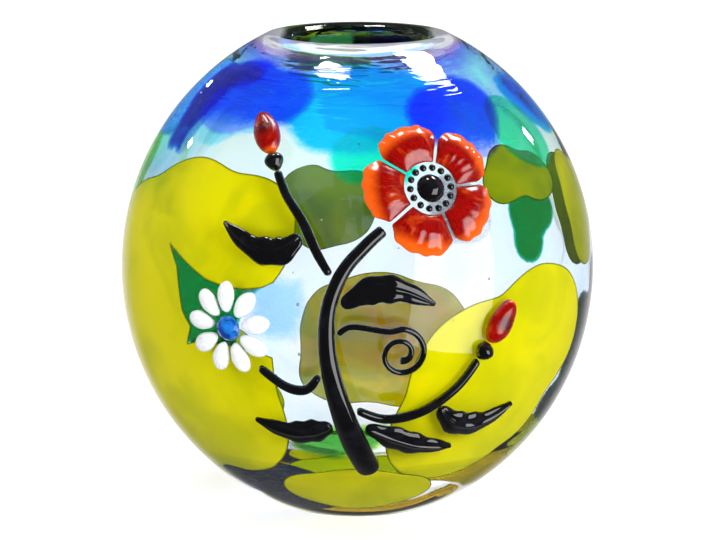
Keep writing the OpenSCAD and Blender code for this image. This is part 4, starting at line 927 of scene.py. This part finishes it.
red = {
    "deep": paint(150, 8, 4), "dark": paint(78, 0, 0), "edge": paint(240, 96, 18),
    "vein": (4.0, 4.0, 0.65, 0.3), "veinStretch": (46.0, 2.2, 1.0), "veined": (0.35, 0.70), "veinShare": 0.85,
    "broad": (90, 3.0, 0.5, 0.8), "lit": (0.52, 0.75), "litShare": 0.45,
    "rim": (0.80, 1.02), "core": (0.18, 0.48),        # shares of the flow map's size
    "rimRagged": 0.14, "rimShare": 0.9,
    "bump": (0.22, 0.0006), "rough": 0.05, "index": 1.52, "coat": 0.7,
}
surface = Surface("red_hot_glass")
outward = surface.part(1, "UV")
vein = surface.clouds(*red["vein"], surface.place("UV", Scale=red["veinStretch"]))
broad = surface.clouds(*red["broad"])
rim = (outward + (vein - 0.5) * red["rimRagged"]).between(*red["rim"]) * red["rimShare"]
colour = surface.blend(vein.between(*red["veined"]) * red["veinShare"], red["deep"], red["dark"])
colour = surface.blend(broad.between(*red["lit"]) * red["litShare"], colour, red["edge"])
colour = surface.blend(rim, colour, red["edge"])
colour = surface.blend(1 - outward.between(*red["core"]), colour, red["dark"])
redGlass = hotGlass(surface, colour, vein + broad, red)

white = {
    "main": paint(236, 238, 242), "grey": paint(176, 182, 196),
    "vein": (4.0, 3.0, 0.6, 0.2), "veinStretch": (60.0, 1.6, 1.0), "veined": (0.42, 0.72), "veinShare": 0.6,
    "bump": (0.15, 0.0004), "rough": 0.08, "index": 1.5, "coat": 0.5,
}
surface = Surface("white_hot_glass")
vein = surface.clouds(*white["vein"], surface.place("UV", Scale=white["veinStretch"]))
colour = surface.blend(vein.between(*white["veined"]) * white["veinShare"], white["main"], white["grey"])
whiteGlass = hotGlass(surface, colour, vein, white)

blue = {
    "main": paint(30, 118, 205), "deep": paint(8, 52, 140),
    "broad": (140, 3.0, 0.55, 1.4), "deepened": (0.40, 0.66),
    "bump": (0.12, 0.0005), "rough": 0.05, "index": 1.5, "coat": 0.6,
}
surface = Surface("blue_hot_glass")
broad = surface.clouds(*blue["broad"])
colour = surface.blend(broad.between(*blue["deepened"]), blue["main"], blue["deep"])
blueGlass = hotGlass(surface, colour, broad, blue)

flowSizes = spray["flowSizes"]
poppyLow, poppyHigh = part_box("poppy_heart")
for k in range(1, 6):
    petal = fromNode(f"poppy_petal_{k}", redGlass, "red_glass", "petal")
    flowMap(petal, (poppyLow + poppyHigh) / 2, flowSizes["poppy"])
fromNode("poppy_heart", blackGlass, "black_glass", "heart")
daisyLow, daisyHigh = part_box("daisy_heart")
daisy = fromNode("daisy_petals", whiteGlass, "white_glass", "drops")
flowMap(daisy, (daisyLow + daisyHigh) / 2, flowSizes["daisy"])
fromNode("daisy_heart", blueGlass, "blue_glass", "heart")
for name in ("right_bud", "left_bud"):
    bud = fromNode(name, redGlass, "red_glass", "bud")
    low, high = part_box(name)
    flowMap(bud, (low + high) / 2, flowSizes["bud"])
print("flower spray")
